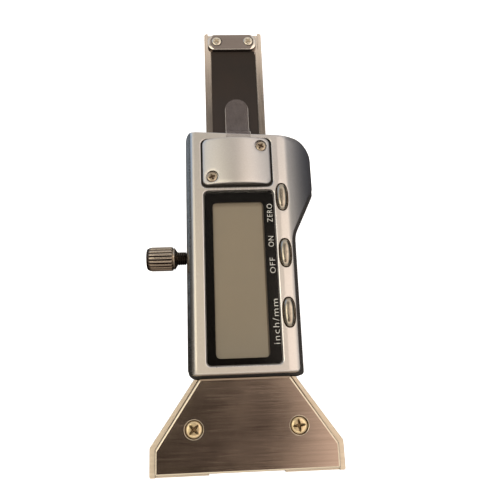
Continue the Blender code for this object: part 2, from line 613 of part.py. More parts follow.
def make_battery_cover():
    pts = refine(rrect(*COVER, 1.35, 3), 1.6)
    nrm = outward(pts)
    xc, yc = (COVER[0] + COVER[1]) / 2, (COVER[2] + COVER[3]) / 2
    rings = [[(x, y, 12.95) for x, y in pts]]
    inner = None
    for j in range(3):
        w = math.pi / 2 * j / 2
        d, dz = 0.3 * (1 - math.cos(w)), 0.3 * (1 - math.sin(w))
        inner = [(x - nx * d, y - ny * d) for (x, y), (nx, ny) in zip(pts, nrm)]
        rings.append([(x, y, cover_z(x) - dz) for x, y in inner])
    # arched top: columns straight across the lid, one strip for each step in X
    bm = bmesh.new()
    vr = [[bm.verts.new(p) for p in ring] for ring in rings]
    n = len(pts)
    bm.faces.new(vr[0][::-1])
    for a, b in zip(vr, vr[1:]):
        for i in range(n):
            j = (i + 1) % n
            bm.faces.new((a[i], a[j], b[j], b[i]))
    # the outline is symmetrical about its mid-height, so each point has a partner with the same X
    last = vr[-1]
    bot, top = {}, {}
    for v in last:
        k = round(v.co.x, 3)
        if v.co.y < yc:
            if k not in bot or v.co.y < bot[k].co.y:
                bot[k] = v
        else:
            if k not in top or v.co.y > top[k].co.y:
                top[k] = v
    keys = sorted(set(bot) & set(top))
    left = [v for v in last if abs(v.co.x - keys[0]) < 0.002]
    right = [v for v in last if abs(v.co.x - keys[-1]) < 0.002]
    for a, b in zip(keys, keys[1:]):
        la = [bot[a], bot[b], top[b], top[a]]
        if a == keys[0]:
            la = [bot[a], bot[b], top[b]] + sorted(left, key=lambda v: -v.co.y)[:-1]
        if b == keys[-1]:
            la = [bot[a]] + sorted(right, key=lambda v: v.co.y) + [top[a]]
        bm.faces.new(la)
    ob = temp(bm)
    # round hollow underneath for the upper part of the cell
    cut(ob, cyl(*CELL, 5.92, 12, 14.02, 40))
    # notch for the pull tab under the upper edge
    cut(ob, box(-2.95, 3.65, 78.2, 80, 13.9, 14.40))
    for x, y in COVER_SCREWS:
        cut(ob, cyl(x, y, 0.9, 10, 17, 16), cyl(x, y, 1.5, 13.95, 17, 24))
    finish(ob, "battery_cover", silver, (xc, yc, 14))
    for name, (x, y) in zip(("battery_cover_screw_lower", "battery_cover_screw_upper"), COVER_SCREWS):
        screw(name, x, y, 14.55, 1.32, 0.55, 0.72, 11.0, gilt)


def make_battery():
    cx, cy = CELL
    prof = [(5.2, 8.52), (5.5, 8.72), (5.5, 9.1), (5.8, 9.4), (5.8, 13.66), (5.6, 13.86)]
    ob = stack([[(x, y, z) for x, y in circle(cx, cy, r, 28)] for r, z in prof])
    finish(ob, "battery_cell", cell_steel, (cx, cy, 11))
    # contacts: a sprung leaf under the cell, and one on its side
    leaf = prism(rrect(cx - 3.6, cx + 3.6, cy - 3.2, cy + 3.2, 0.8, 2), 8.30, 8.46)
    finish(leaf, "battery_contact_negative", brass, (cx, cy, 8.4))
    side = prism([(cx - 0.8, cy - 5.97), (cx + 0.8, cy - 5.97), (cx + 0.8, cy - 5.86), (cx - 0.8, cy - 5.86)], 8.32, 12.4)
    finish(side, "battery_contact_positive", brass, (cx, cy - 6, 10))


def make_pull_tab():
    """Clear film from under the cover, over the upper edge, down to the beam and out along it."""
    # route in Y and Z of the film's middle line
    route = [(78.75, 14.20), (79.40, 14.20), (80.35, 14.20), (80.95, 13.95)]
    p0, p1, p2, p3 = Vector((80.95, 13.95)), Vector((82.6, 12.9)), Vector((82.4, 7.9)), Vector((86.5, 7.45))
    for i in range(1, 9):
        t = i / 8
        q = p0 * (1 - t) ** 3 + p1 * 3 * t * (1 - t) ** 2 + p2 * 3 * t * t * (1 - t) + p3 * t ** 3
        route.append((q.x, q.y))
    xc, hw, tip = 0.35, 3.1, 94.2
    route += [(89.0, 7.35)]
    halves = [hw] * len(route)
    for i in range(0, 7):
        a = math.radians(12.5 * i)
        route.append((tip - hw + hw * math.sin(a), 7.33))
        halves.append(hw * math.cos(a))
    th = 0.09
    bm = bmesh.new()
    cols = []
    n = len(route)
    for i, ((y, z), h) in enumerate(zip(route, halves)):
        a = Vector(route[max(0, i - 1)])
        b = Vector(route[min(n - 1, i + 1)])
        t = (b - a).normalized()
        ny, nz = -t.y * th, t.x * th
        cols.append([bm.verts.new((xc - h, y + ny, z + nz)), bm.verts.new((xc + h, y + ny, z + nz)),
                     bm.verts.new((xc + h, y - ny, z - nz)), bm.verts.new((xc - h, y - ny, z - nz))])
    bm.faces.new(cols[0])
    bm.faces.new(cols[-1][::-1])
    for a, b in zip(cols, cols[1:]):
        for k in range(4):
            m = (k + 1) % 4
            bm.faces.new((a[k], b[k], b[m], a[m]))
    ob = temp(bm)
    finish(ob, "battery_pull_tab", clear_film, (xc, 80, 14))


make_beam()
make_scale()
make_end_stop()
make_pin()
make_slider_frame()
make_guides()
make_thumb_screw()
make_front_housing()
make_rear_housing()
make_rear_bits()
make_base()
make_display()
make_board()
make_buttons()
make_battery_cover()
make_battery()
make_pull_tab()
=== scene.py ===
import math

import bmesh
import bpy
from mathutils import Matrix, Vector
from mathutils.geometry import delaunay_2d_cdt

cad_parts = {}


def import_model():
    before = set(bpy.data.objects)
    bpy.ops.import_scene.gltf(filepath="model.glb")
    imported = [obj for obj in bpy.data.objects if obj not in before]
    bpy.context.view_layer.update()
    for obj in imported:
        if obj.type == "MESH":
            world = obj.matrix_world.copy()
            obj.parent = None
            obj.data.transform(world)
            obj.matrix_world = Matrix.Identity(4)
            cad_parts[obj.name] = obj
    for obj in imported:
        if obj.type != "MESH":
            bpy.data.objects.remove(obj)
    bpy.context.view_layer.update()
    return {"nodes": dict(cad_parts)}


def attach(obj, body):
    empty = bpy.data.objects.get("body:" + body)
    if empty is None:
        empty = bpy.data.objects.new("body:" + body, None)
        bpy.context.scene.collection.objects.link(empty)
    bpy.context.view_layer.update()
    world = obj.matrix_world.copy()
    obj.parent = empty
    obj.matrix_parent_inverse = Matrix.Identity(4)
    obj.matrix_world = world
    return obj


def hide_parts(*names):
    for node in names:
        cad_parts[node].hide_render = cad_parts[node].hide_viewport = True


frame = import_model()

CX, CY = -0.625, 57.575          # drawing point that lies over the world origin


def world(x, y, z):
    return Vector(((x - CX) / 1000, (y - CY) / 1000, z / 1000))


# ------------------------------------------------------------------ camera
cam_data = bpy.data.cameras.new("camera")
cam = bpy.data.objects.new("camera", cam_data)
bpy.context.scene.collection.objects.link(cam)
cam_data.sensor_width = 36.0
cam_data.lens = 551.0 / 500.0 * 36.0
cam_data.clip_start, cam_data.clip_end = 0.005, 20.0
right = Vector((0.9984, -0.039233, 0.040719))
down = Vector((-0.027151, -0.964308, -0.263389))
ahead = Vector((0.049599, 0.261862, -0.96383))
rot = Matrix((right, -down, -ahead)).transposed().to_4x4()
cam.matrix_world = Matrix.Translation(world(-4.4223, 15.752, 140.4368)) @ rot
bpy.context.scene.camera = cam

view = bpy.context.scene.view_settings
view.view_transform = "Standard"
view.look = "None"
view.exposure = 0.0
view.gamma = 1.0


# ------------------------------------------------------------------ light
def node(nt, kind, **props):
    n = nt.nodes.new(kind)
    for k, v in props.items():
        setattr(n, k, v)
    return n


def math_node(nt, op, a, b=None, c=None, clamp=False):
    n = nt.nodes.new("ShaderNodeMath")
    n.operation = op
    n.use_clamp = clamp
    for i, v in enumerate((a, b, c)):
        if v is None:
            continue
        if isinstance(v, (int, float)):
            n.inputs[i].default_value = v
        else:
            nt.links.new(v, n.inputs[i])
    return n.outputs[0]


def smooth_range(nt, value, lo, hi, out_lo=0.0, out_hi=1.0):
    n = nt.nodes.new("ShaderNodeMapRange")
    n.interpolation_type = "SMOOTHSTEP"
    nt.links.new(value, n.inputs["Value"])
    n.inputs["From Min"].default_value = lo
    n.inputs["From Max"].default_value = hi
    n.inputs["To Min"].default_value = out_lo
    n.inputs["To Max"].default_value = out_hi
    return n.outputs["Result"]


def line_range(nt, value, lo, hi, out_lo=0.0, out_hi=1.0):
    n = nt.nodes.new("ShaderNodeMapRange")
    nt.links.new(value, n.inputs["Value"])
    n.inputs["From Min"].default_value = lo
    n.inputs["From Max"].default_value = hi
    n.inputs["To Min"].default_value = out_lo
    n.inputs["To Max"].default_value = out_hi
    return n.outputs["Result"]


def mix_color(nt, fac, a, b, mode="MIX"):
    n = nt.nodes.new("ShaderNodeMix")
    n.data_type = "RGBA"
    n.blend_type = mode
    for sock, v in ((n.inputs[0], fac), (n.inputs[6], a), (n.inputs[7], b)):
        if isinstance(v, (int, float)):
            sock.default_value = v
        elif isinstance(v, (tuple, list)):
            sock.default_value = (*v[:3], 1.0)
        else:
            nt.links.new(v, sock)
    return n.outputs[2]


def studio_world():
    """Soft room light: a dim patch straight above, a bright ceiling round it, darker walls, brown below."""
    w = bpy.data.worlds.new("studio")
    bpy.context.scene.world = w
    w.use_nodes = True
    nt = w.node_tree
    nt.nodes.clear()
    out = node(nt, "ShaderNodeOutputWorld")
    bg = node(nt, "ShaderNodeBackground")
    nt.links.new(bg.outputs[0], out.inputs[0])
    tc = node(nt, "ShaderNodeTexCoord")
    nrm = node(nt, "ShaderNodeVectorMath", operation="NORMALIZE")
    nt.links.new(tc.outputs["Generated"], nrm.inputs[0])
    sep = node(nt, "ShaderNodeSeparateXYZ")
    nt.links.new(nrm.outputs[0], sep.inputs[0])
    x, y, z = sep.outputs

    def lobe(direction, inner, outer):
        """1 within inner degrees of the direction, 0 beyond outer."""
        d = Vector(direction).normalized()
        dot = node(nt, "ShaderNodeVectorMath", operation="DOT_PRODUCT")
        nt.links.new(nrm.outputs[0], dot.inputs[0])
        dot.inputs[1].default_value = d
        return smooth_range(nt, dot.outputs["Value"], math.cos(math.radians(outer)), math.cos(math.radians(inner)))

    # from the ground up: brown, dim walls, bright ceiling
    ramp = node(nt, "ShaderNodeValToRGB")
    nt.links.new(line_range(nt, z, -1.0, 1.0), ramp.inputs[0])
    stops = [(-0.15, (0.022, 0.019, 0.017)), (0.08, (0.026, 0.027, 0.033)), (0.28, (0.125, 0.128, 0.138)), (0.50, (0.42, 0.41, 0.405)),
             (0.62, (0.74, 0.69, 0.65)), (0.76, (1.04, 0.94, 0.84)), (0.86, (1.32, 1.17, 1.00)), (1.0, (1.36, 1.20, 1.02))]
    cr = ramp.color_ramp
    while len(cr.elements) < len(stops):
        cr.elements.new(0.5)
    for e, (h, c) in zip(cr.elements, stops):
        e.position = (h + 1) / 2
        e.color = (*c, 1)
    col = ramp.outputs[0]
    # pale walls before and behind the bench
    col = mix_color(nt, math_node(nt, "MULTIPLY", lobe((0.0, -1.0, 0.22), 22, 52), 0.9), col, (0.66, 0.62, 0.58))
    col = mix_color(nt, math_node(nt, "MULTIPLY", lobe((0.0, 1.0, 0.12), 22, 48), 0.9), col, (0.72, 0.69, 0.67))
    # window light low on the upper left, a grey wall below it, lamps to the right and to the left
    col = mix_color(nt, math_node(nt, "MULTIPLY", lobe((-0.92, -0.05, 0.30), 6, 36), 0.8), col, (0.17, 0.155, 0.135))
    col = mix_color(nt, math_node(nt, "MULTIPLY", lobe((-0.74, 0.66, 0.34), 4, 27), 0.95), col, (0.58, 0.74, 0.98))
    col = mix_color(nt, lobe((-0.62, 0.62, -0.48), 8, 35), col, (0.21, 0.245, 0.29))
    col = mix_color(nt, lobe((0.34, 0.20, 0.91), 6, 18), col, (1.80, 1.54, 1.36))
    col = mix_color(nt, lobe((0.25, -0.13, 0.96), 6, 19), col, (1.50, 1.22, 1.06))
    col = mix_color(nt, lobe((-0.34, 0.10, 0.92), 8, 20), col, (2.65, 2.44, 1.98))
    col = mix_color(nt, math_node(nt, "MULTIPLY", lobe((-0.27, 0.47, 0.90), 5, 17), 0.85), col, (0.20, 0.19, 0.185))
    # dim patch over the gauge, drawn out towards +Y, as seen in slopes p = x/z and q = y/z
    zz = math_node(nt, "MAXIMUM", z, 0.05)
    p, q = math_node(nt, "DIVIDE", x, zz), math_node(nt, "DIVIDE", y, zz)
    along = math_node(nt, "MINIMUM", math_node(nt, "MAXIMUM", q, -0.24), 0.565)
    dp = math_node(nt, "SUBTRACT", p, math_node(nt, "ADD", math_node(nt, "MULTIPLY", q, 0.10), -0.035))
    dp = math_node(nt, "SUBTRACT", dp, smooth_range(nt, q, 0.12, -0.04, 0.0, 0.060))
    lft = math_node(nt, "MULTIPLY", math_node(nt, "MINIMUM", dp, 0.0), smooth_range(nt, q, -0.05, 0.12, 0.30, 1.0))
    lft = math_node(nt, "MULTIPLY", lft, smooth_range(nt, q, 0.25, 0.45, 1.0, 0.62))
    rgt = math_node(nt, "MULTIPLY", math_node(nt, "MAXIMUM", dp, 0.0), smooth_range(nt, q, 0.25, 0.45, 1.0, 0.62))
    dp = math_node(nt, "ADD", lft, rgt)
    dq = math_node(nt, "MULTIPLY", math_node(nt, "SUBTRACT", q, along), 1.4)
    dist = math_node(nt, "SQRT", math_node(nt, "ADD", math_node(nt, "MULTIPLY", dp, dp), math_node(nt, "MULTIPLY", dq, dq)))
    dim = smooth_range(nt, dist, 0.23, 0.055)
    shade = mix_color(nt, smooth_range(nt, q, 0.0, 0.5), (0.060, 0.045, 0.036), (0.225, 0.203, 0.186))
    col = mix_color(nt, dim, col, shade)
    nt.links.new(col, bg.inputs["Color"])
    bg.inputs["Strength"].default_value = 1.0
    return w


def softbox(name, loc, target, size, power, color=(1, 1, 1)):
    ld = bpy.data.lights.new(name, "AREA")
    ld.shape = "RECTANGLE"
    ld.size, ld.size_y = size
    ld.energy = power
    ld.color = color
    ob = bpy.data.objects.new(name, ld)
    bpy.context.scene.collection.objects.link(ob)
    ob.location = loc
    ob.rotation_mode = "QUATERNION"
    ob.rotation_quaternion = (Vector(target) - Vector(loc)).to_track_quat("-Z", "Y")
    ob.visible_glossy = False
    return ob


studio_world()
softbox("softbox_top", (-0.16, 0.40, 0.46), (0, 0, 0), (0.20, 0.20), 1.1, (1.0, 0.94, 0.86))


# ------------------------------------------------------------------ outline helpers
def fillet(corners, steps=8):
    """Outline with rounded corners; corners are (x, y, radius), counter-clockwise."""
    out = []
    n = len(corners)
    for i, (x, y, r) in enumerate(corners):
        p = Vector((x, y))
        a = Vector(corners[i - 1][:2])
        b = Vector(corners[(i + 1) % n][:2])
        if r <= 0:
            out.append((x, y))
            continue
        d1, d2 = (a - p).normalized(), (b - p).normalized()
        half = math.acos(max(-1, min(1, d1.dot(d2)))) / 2
        t = r / math.tan(half)
        c = p + (d1 + d2).normalized() * (r / math.sin(half))
        s, e = p + d1 * t - c, p + d2 * t - c
        a0 = math.atan2(s.y, s.x)
        da = math.atan2(e.y, e.x) - a0
        da = (da + math.pi) % (2 * math.pi) - math.pi
        k = max(2, round(steps * abs(da) / (math.pi / 2)) + 1)
        for j in range(k + 1):
            w = a0 + da * j / k
            out.append((c.x + r * math.cos(w), c.y + r * math.sin(w)))
    return out


def rrect(x0, x1, y0, y1, r, steps=8):
    return fillet([(x0, y0, r), (x1, y0, r), (x1, y1, r), (x0, y1, r)], steps)


def grow(b, d):
    return (b[0] - d, b[1] + d, b[2] - d, b[3] + d)


def circle(cx, cy, r, n=48):
    return [(cx + r * math.cos(2 * math.pi * i / n), cy + r * math.sin(2 * math.pi * i / n)) for i in range(n)]


def oval(cx, cy, a, b, n=64, p=2.5):
    out = []
    for i in range(n):
        w = 2 * math.pi * (i + 0.5) / n
        c, s = math.cos(w), math.sin(w)
        out.append((cx + a * math.copysign(abs(c) ** (2 / p), c), cy + b * math.copysign(abs(s) ** (2 / p), s)))
    return out


def outward(pts):
    """Unit outward normals of a counter-clockwise outline, halfway between its two edges."""
    n = len(pts)
    out = []
    for i in range(n):
        p = Vector(pts[i])
        a, b = Vector(pts[i - 1]), Vector(pts[(i + 1) % n])
        t1, t2 = (p - a).normalized(), (b - p).normalized()
        t = (t1 + t2).normalized()
        k = 1.0 / max(0.5, t.dot(t1))
        out.append((t.y * k, -t.x * k))
    return out


def refine(pts, longest):
    out = []
    for a, b in zip(pts, pts[1:] + pts[:1]):
        out.append(a)
        d = math.dist(a, b)
        k = int(d // longest)
        for j in range(1, k + 1):
            t = j / (k + 1)
            out.append((a[0] + (b[0] - a[0]) * t, a[1] + (b[1] - a[1]) * t))
    return out


def inside(p, loop):
    x, y = p[0], p[1]
    hit = False
    for a, b in zip(loop, loop[1:] + loop[:1]):
        if (a[1] > y) != (b[1] > y) and x < (b[0] - a[0]) * (y - a[1]) / (b[1] - a[1]) + a[0]:
            hit = not hit
    return hit


class Solid:
    """Faces given as lists of points in millimetres; equal points are welded."""

    def __init__(self):
        self.index, self.points, self.faces, self.kinds = {}, [], [], []
        self.kind = 0

    def at(self, p):
        k = (round(p[0], 4), round(p[1], 4), round(p[2], 4))
        if k not in self.index:
            self.index[k] = len(self.points)
            self.points.append(tuple(p))
        return self.index[k]

    def face(self, pts):
        ids = []
        for p in pts:
            i = self.at(p)
            if not ids or ids[-1] != i:
                ids.append(i)
        if len(ids) > 1 and ids[0] == ids[-1]:
            ids.pop()
        if len(set(ids)) >= 3 and len(set(ids)) == len(ids):
            self.faces.append(ids)
            self.kinds.append(self.kind)

    def strip(self, a, b, closed=True):
        n = len(a)
        for i in range(n if closed else n - 1):
            j = (i + 1) % n
            self.face([a[i], a[j], b[j], b[i]])

    def loft(self, rings, cap_start=True, cap_end=True):
        for a, b in zip(rings, rings[1:]):
            self.strip(a, b)
        if cap_start:
            self.face(rings[0][::-1])
        if cap_end:
            self.face(rings[-1])

    def sheet(self, outer, holes=(), height=None, extra=(), clear=0.3):
        """Triangulated surface between an outline and its holes; all loops are 3-D points."""
        loops = [outer] + list(holes)
        pts, edges = [], []
        for lp in loops:
            s = len(pts)
            pts += [tuple(p) for p in lp]
            edges += [(s + i, s + (i + 1) % len(lp)) for i in range(len(lp))]
        flat = [[(p[0], p[1]) for p in lp] for lp in loops]
        rim = [q for lp in flat for q in lp]
        for x, y in extra:
            if not inside((x, y), flat[0]) or any(inside((x, y), h) for h in flat[1:]):
                continue
            if min((x - a) ** 2 + (y - b) ** 2 for a, b in rim) < clear * clear:
                continue
            pts.append((x, y, height(x, y)))
        co = [Vector((p[0], p[1])) for p in pts]
        vs, _, fs, ov, _, _ = delaunay_2d_cdt(co, edges, [], 0, 1e-6)
        src = [pts[o[0]] if o else (vs[i].x, vs[i].y, height(vs[i].x, vs[i].y) if height else outer[0][2]) for i, o in enumerate(ov)]
        for f in fs:
            c = (sum(src[i][0] for i in f) / len(f), sum(src[i][1] for i in f) / len(f))
            if inside(c, flat[0]) and not any(inside(c, h) for h in flat[1:]):
                self.face([src[i] for i in f])

    def pocket(self, loop, top, bevel, z_floor, segs=3, floor=True, wall=0, rim=0, slant=False):
        """Rounded rim, wall and floor of a recess; gives the rim loop that the face around it meets."""
        nrm = outward(loop)
        rings = []
        steps = [(1 - math.sin(math.pi / 2 * j / segs), 1 - math.cos(math.pi / 2 * j / segs)) for j in range(segs + 1)]
        if slant:
            steps = [(1.0, 0.0), (0.30, 0.20), (0.10, 0.32), (0.0, 0.60)]
        width = bevel if callable(bevel) else (lambda nx, ny: bevel)
        for kd, kh in steps:
            ring = []
            for (x, y), (nx, ny) in zip(loop, nrm):
                d, h = width(nx, ny) * kd, width(nx, ny) * kh
                px, py = x + nx * d, y + ny * d
                ring.append((px, py, top(px, py) - h))
            rings.append(ring)
        rings.append([(x, y, z_floor) for x, y in loop])
        for a, b in zip(rings, rings[1:]):
            self.kind = wall if b is rings[-1] else rim
            self.strip(a, b)
        if floor:
            self.face(rings[-1])
        self.kind = 0
        return rings[0], rings[-1]

    def object(self, name, mat, angle=32, weighted=True, place=True):
        me = bpy.data.meshes.new(name)
        me.from_pydata(self.points, [], self.faces)
        mats = mat if isinstance(mat, (list, tuple)) else [mat]
        for m in mats:
            me.materials.append(m)
        if len(mats) > 1:
            me.polygons.foreach_set("material_index", self.kinds)
        level = [max(self.points[i][2] for i in f) - min(self.points[i][2] for i in f) < 1e-4 for f in self.faces]
        return settle(me, name, None, angle, weighted, place, level)


def settle(me, name, mat, angle=32, weighted=True, place=True, level=None):
    bm = bmesh.new()
    bm.from_mesh(me)
    bmesh.ops.recalc_face_normals(bm, faces=bm.faces)
    if place:
        bm.transform(Matrix.Scale(0.001, 4) @ Matrix.Translation((-CX, -CY, 0)))
    bm.to_mesh(me)
    bm.free()
    me.shade_smooth()
    me.set_sharp_from_angle(angle=math.radians(angle))
    if level:
        for poly, flat in zip(me.polygons, level):
            poly.use_smooth = not flat
    me.name = name
    if mat is not None:
        me.materials.clear()
        me.materials.append(mat)
    ob = bpy.data.objects.new(name, me)
    bpy.context.scene.collection.objects.link(ob)
    if weighted:
        m = ob.modifiers.new("normals", "WEIGHTED_NORMAL")
        m.keep_sharp = True
        m.weight = 80
    return ob


def raw(solid):
    """Plain working object in millimetres, for cuts."""
    me = bpy.data.meshes.new("work")
    me.from_pydata(solid.points, [], solid.faces)
    bm = bmesh.new()
    bm.from_mesh(me)
    bmesh.ops.recalc_face_normals(bm, faces=bm.faces)
    bm.to_mesh(me)
    bm.free()
    ob = bpy.data.objects.new("work", me)
    bpy.context.scene.collection.objects.link(ob)
    return ob


def prism(pts, z0, z1):
    s = Solid()
    s.loft([[(x, y, z0) for x, y in pts], [(x, y, z1) for x, y in pts]])
    return raw(s)


def block(x0, x1, y0, y1, z0, z1):
    return prism([(x0, y0), (x1, y0), (x1, y1), (x0, y1)], z0, z1)


def rod_x(x0, x1, cy, cz, r, n=40):
    s = Solid()
    s.loft([[(x, cy + r * math.cos(2 * math.pi * i / n), cz + r * math.sin(2 * math.pi * i / n)) for i in range(n)] for x in (x0, x1)])
    return raw(s)


def cut(base, *cutters, op="DIFFERENCE"):
    for c in cutters:
        mod = base.modifiers.new("cut", "BOOLEAN")
        mod.operation = op
        mod.solver = "EXACT"
        mod.object = c
        dg = bpy.context.evaluated_depsgraph_get()
        me = bpy.data.meshes.new_from_object(base.evaluated_get(dg))
        base.modifiers.clear()
        old = base.data
        base.data = me
        bpy.data.meshes.remove(old)
        bpy.data.objects.remove(c, do_unlink=True)
    return base


def take(work, name, mat, angle=32, bevel=0.0, segs=2, limit=35):
    """Turns a working object into a finished piece, its edges broken by a small bevel."""
    me = work.data
    bm = bmesh.new()
    bm.from_mesh(me)
    bmesh.ops.remove_doubles(bm, verts=bm.verts, dist=0.001)
    bmesh.ops.dissolve_limit(bm, angle_limit=math.radians(0.5), verts=bm.verts, edges=bm.edges)
    bm.to_mesh(me)
    bm.free()
    bpy.data.objects.remove(work, do_unlink=True)
    ob = settle(me, name, mat, angle, False)
    if bevel:
        b = ob.modifiers.new("edges", "BEVEL")
        b.width = bevel / 1000
        b.segments = segs
        b.limit_method = "ANGLE"
        b.angle_limit = math.radians(limit)
        b.use_clamp_overlap = True
        b.harden_normals = False
    m = ob.modifiers.new("normals", "WEIGHTED_NORMAL")
    m.keep_sharp = True
    m.weight = 80
    return ob


def rounded_rings(pts, z0, z1, top=0.0, bottom=0.0, segs=4):
    """Rings of an upright slab with rounded edges, from the bottom up."""
    nrm = outward(pts)
    rings = []
    if bottom:
        for j in range(segs + 1):
            w = math.pi / 2 * j / segs
            d, h = bottom * (1 - math.sin(w)), bottom * (1 - math.cos(w))
            rings.append([(x - nx * d, y - ny * d, z0 + h) for (x, y), (nx, ny) in zip(pts, nrm)])
    else:
        rings.append([(x, y, z0) for x, y in pts])
    if top:
        for j in range(segs + 1):
            w = math.pi / 2 * j / segs
            d, h = top * (1 - math.cos(w)), top * (1 - math.sin(w))
            rings.append([(x - nx * d, y - ny * d, z1 - h) for (x, y), (nx, ny) in zip(pts, nrm)])
    else:
        rings.append([(x, y, z1) for x, y in pts])
    return rings


# ------------------------------------------------------------------ finishes
def shader(name, base=(0.5, 0.5, 0.5), metallic=0.0, rough=0.5, spec=0.5, **const):
    m = bpy.data.materials.new(name)
    m.use_nodes = True
    nt = m.node_tree
    b = nt.nodes["Principled BSDF"]
    b.inputs["Base Color"].default_value = (*base, 1)
    b.inputs["Metallic"].default_value = metallic
    b.inputs["Roughness"].default_value = rough
    b.inputs["Specular IOR Level"].default_value = spec
    for k, v in const.items():
        b.inputs[k.replace("_", " ")].default_value = v
    return m, nt, b


def place_coords(nt):
    """Object coordinates in millimetres, split."""
    tc = node(nt, "ShaderNodeTexCoord")
    mp = node(nt, "ShaderNodeVectorMath", operation="SCALE")
    nt.links.new(tc.outputs["Object"], mp.inputs[0])
    mp.inputs["Scale"].default_value = 1000.0
    sep = node(nt, "ShaderNodeSeparateXYZ")
    nt.links.new(mp.outputs[0], sep.inputs[0])
    return mp.outputs[0], sep.outputs


def noise(nt, vec, scale, detail=3.0, rough=0.55, stretch=(1, 1, 1), seed=0.0):
    mp = node(nt, "ShaderNodeMapping")
    mp.inputs["Location"].default_value = (seed, seed * 1.7, seed * 0.3)
    mp.inputs["Scale"].default_value = stretch
    nt.links.new(vec, mp.inputs["Vector"])
    n = node(nt, "ShaderNodeTexNoise")
    n.inputs["Scale"].default_value = scale
    n.inputs["Detail"].default_value = detail
    n.inputs["Roughness"].default_value = rough
    nt.links.new(mp.outputs[0], n.inputs["Vector"])
    return n.outputs["Fac"]


def bump(nt, b, height, strength, distance_mm):
    n = node(nt, "ShaderNodeBump")
    n.inputs["Strength"].default_value = strength
    n.inputs["Distance"].default_value = distance_mm / 1000
    nt.links.new(height, n.inputs["Height"])
    nt.links.new(n.outputs[0], b.inputs["Normal"])


def silver_coat(name, cover=False):
    m, nt, b = shader(name, metallic=1.0, rough=0.4)
    vec, (x, y, z) = place_coords(nt)
    cloud = noise(nt, vec, 0.12, 3)
    grain = noise(nt, vec, 9.0, 4, 0.7)
    flake = node(nt, "ShaderNodeTexVoronoi")
    flake.inputs["Scale"].default_value = 7.0
    nt.links.new(vec, flake.inputs["Vector"])
    col = mix_color(nt, line_range(nt, cloud, 0.3, 0.7), (0.725, 0.697, 0.655), (0.755, 0.727, 0.697))
    # slightly greener on the left edge, pinker at the right
    col = mix_color(nt, smooth_range(nt, x, -10.0, 10.0), mix_color(nt, 1.0, col, (1.0, 0.985, 0.93), "MULTIPLY"), col)
    col = mix_color(nt, line_range(nt, grain, 0.35, 0.7, 0.0, 0.10), col, (1.0, 0.97, 0.93))
    # fine sparkle of the paint
    spark = noise(nt, vec, 2.6, 2, 0.8, (1, 1, 1), 9.0)
    col = mix_color(nt, smooth_range(nt, spark, 0.52, 0.72, 0.0, 0.16), col, (1.0, 0.985, 0.96))
    col = mix_color(nt, smooth_range(nt, spark, 0.48, 0.28, 0.0, 0.10), col, (0.45, 0.42, 0.40))
    # painted shade: a darker, steel-blue tone on the falling thumb rest, standing in for its dim reflection
    col = mix_color(nt, smooth_range(nt, x, 13.5 - CX, 18.6 - CX, 0.0, 1.0), col, mix_color(nt, 1.0, col, (0.72, 0.76, 0.85), "MULTIPLY"))
    # painted shade: cooler and a little darker towards the end stop
    col = mix_color(nt, smooth_range(nt, y, -5.0, 22.0, 0.0, 1.0), col, mix_color(nt, 1.0, col, (0.93, 0.945, 0.985), "MULTIPLY"))
    if cover:
        # painted shade: the right part of the cover a little darker and cooler
        col = mix_color(nt, smooth_range(nt, x, 0.5 - CX, 6.0 - CX, 0.0, 1.0), col, mix_color(nt, 1.0, col, (0.84, 0.855, 0.87), "MULTIPLY"))
    nt.links.new(col, b.inputs["Base Color"])
    worn = smooth_range(nt, x, -11.1 - CX, -11.5 - CX, 0.0, -0.12)
    nt.links.new(math_node(nt, "ADD", worn, line_range(nt, grain, 0.3, 0.7, 0.33, 0.43)), b.inputs["Roughness"])
    h = math_node(nt, "ADD", math_node(nt, "MULTIPLY", flake.outputs["Distance"], 0.4), grain)
    bump(nt, b, h, 0.25, 0.004)
    return m


def brushed(name, base, dark, along="X", rough=0.32, pitch=5.0, depth=0.35, scratches=0.5, metallic=1.0, contrast=1.0, slim=0.03):
    """Ground metal with fine lines along one axis, a few stray scratches and slow colour drift."""
    m, nt, b = shader(name, metallic=metallic, rough=rough)
    vec, (x, y, z) = place_coords(nt)
    thin = {"X": (slim, 1, 1), "Y": (1, slim, 1), "Z": (1, 1, slim)}[along]
    fine = noise(nt, vec, pitch, 4, 0.65, thin)
    broad = noise(nt, vec, pitch * 0.24, 4, 0.6, tuple(0.12 * t if t < 1 else t for t in thin), 3.1)
    cloud = noise(nt, vec, 0.09, 3, 0.5, (1, 1, 1), 7.7)
    col = mix_color(nt, line_range(nt, fine, 0.5 - 0.28 / contrast, 0.5 + 0.28 / contrast), dark, base)
    col = mix_color(nt, line_range(nt, broad, 0.36, 0.64, 0.0, 0.6), col, mix_color(nt, 1.0, dark, (0.90, 0.88, 0.86), "MULTIPLY"))
    col = mix_color(nt, line_range(nt, cloud, 0.35, 0.7, 0.0, 0.22), col, mix_color(nt, 1.0, dark, (1.0, 0.93, 0.86), "MULTIPLY"))
    if scratches:
        s1 = noise(nt, vec, 1.3, 2, 0.5, (6.0, 0.35, 1.0), 11.0)
        s2 = noise(nt, vec, 1.1, 2, 0.5, (0.5, 7.0, 1.0), 5.0)
        a = smooth_range(nt, s1, 0.66, 0.70, 0.0, scratches)
        c = smooth_range(nt, s2, 0.66, 0.70, 0.0, scratches)
        k = math_node(nt, "MAXIMUM", a, c)
        col = mix_color(nt, k, col, tuple(min(1, v * 1.35) for v in base))
    nt.links.new(col, b.inputs["Base Color"])
    r = math_node(nt, "ADD", line_range(nt, fine, 0.3, 0.7, rough - 0.06, rough + 0.06), line_range(nt, cloud, 0.3, 0.7, -0.03, 0.03))
    nt.links.new(r, b.inputs["Roughness"])
    bump(nt, b, fine, depth, 0.010)
    return m


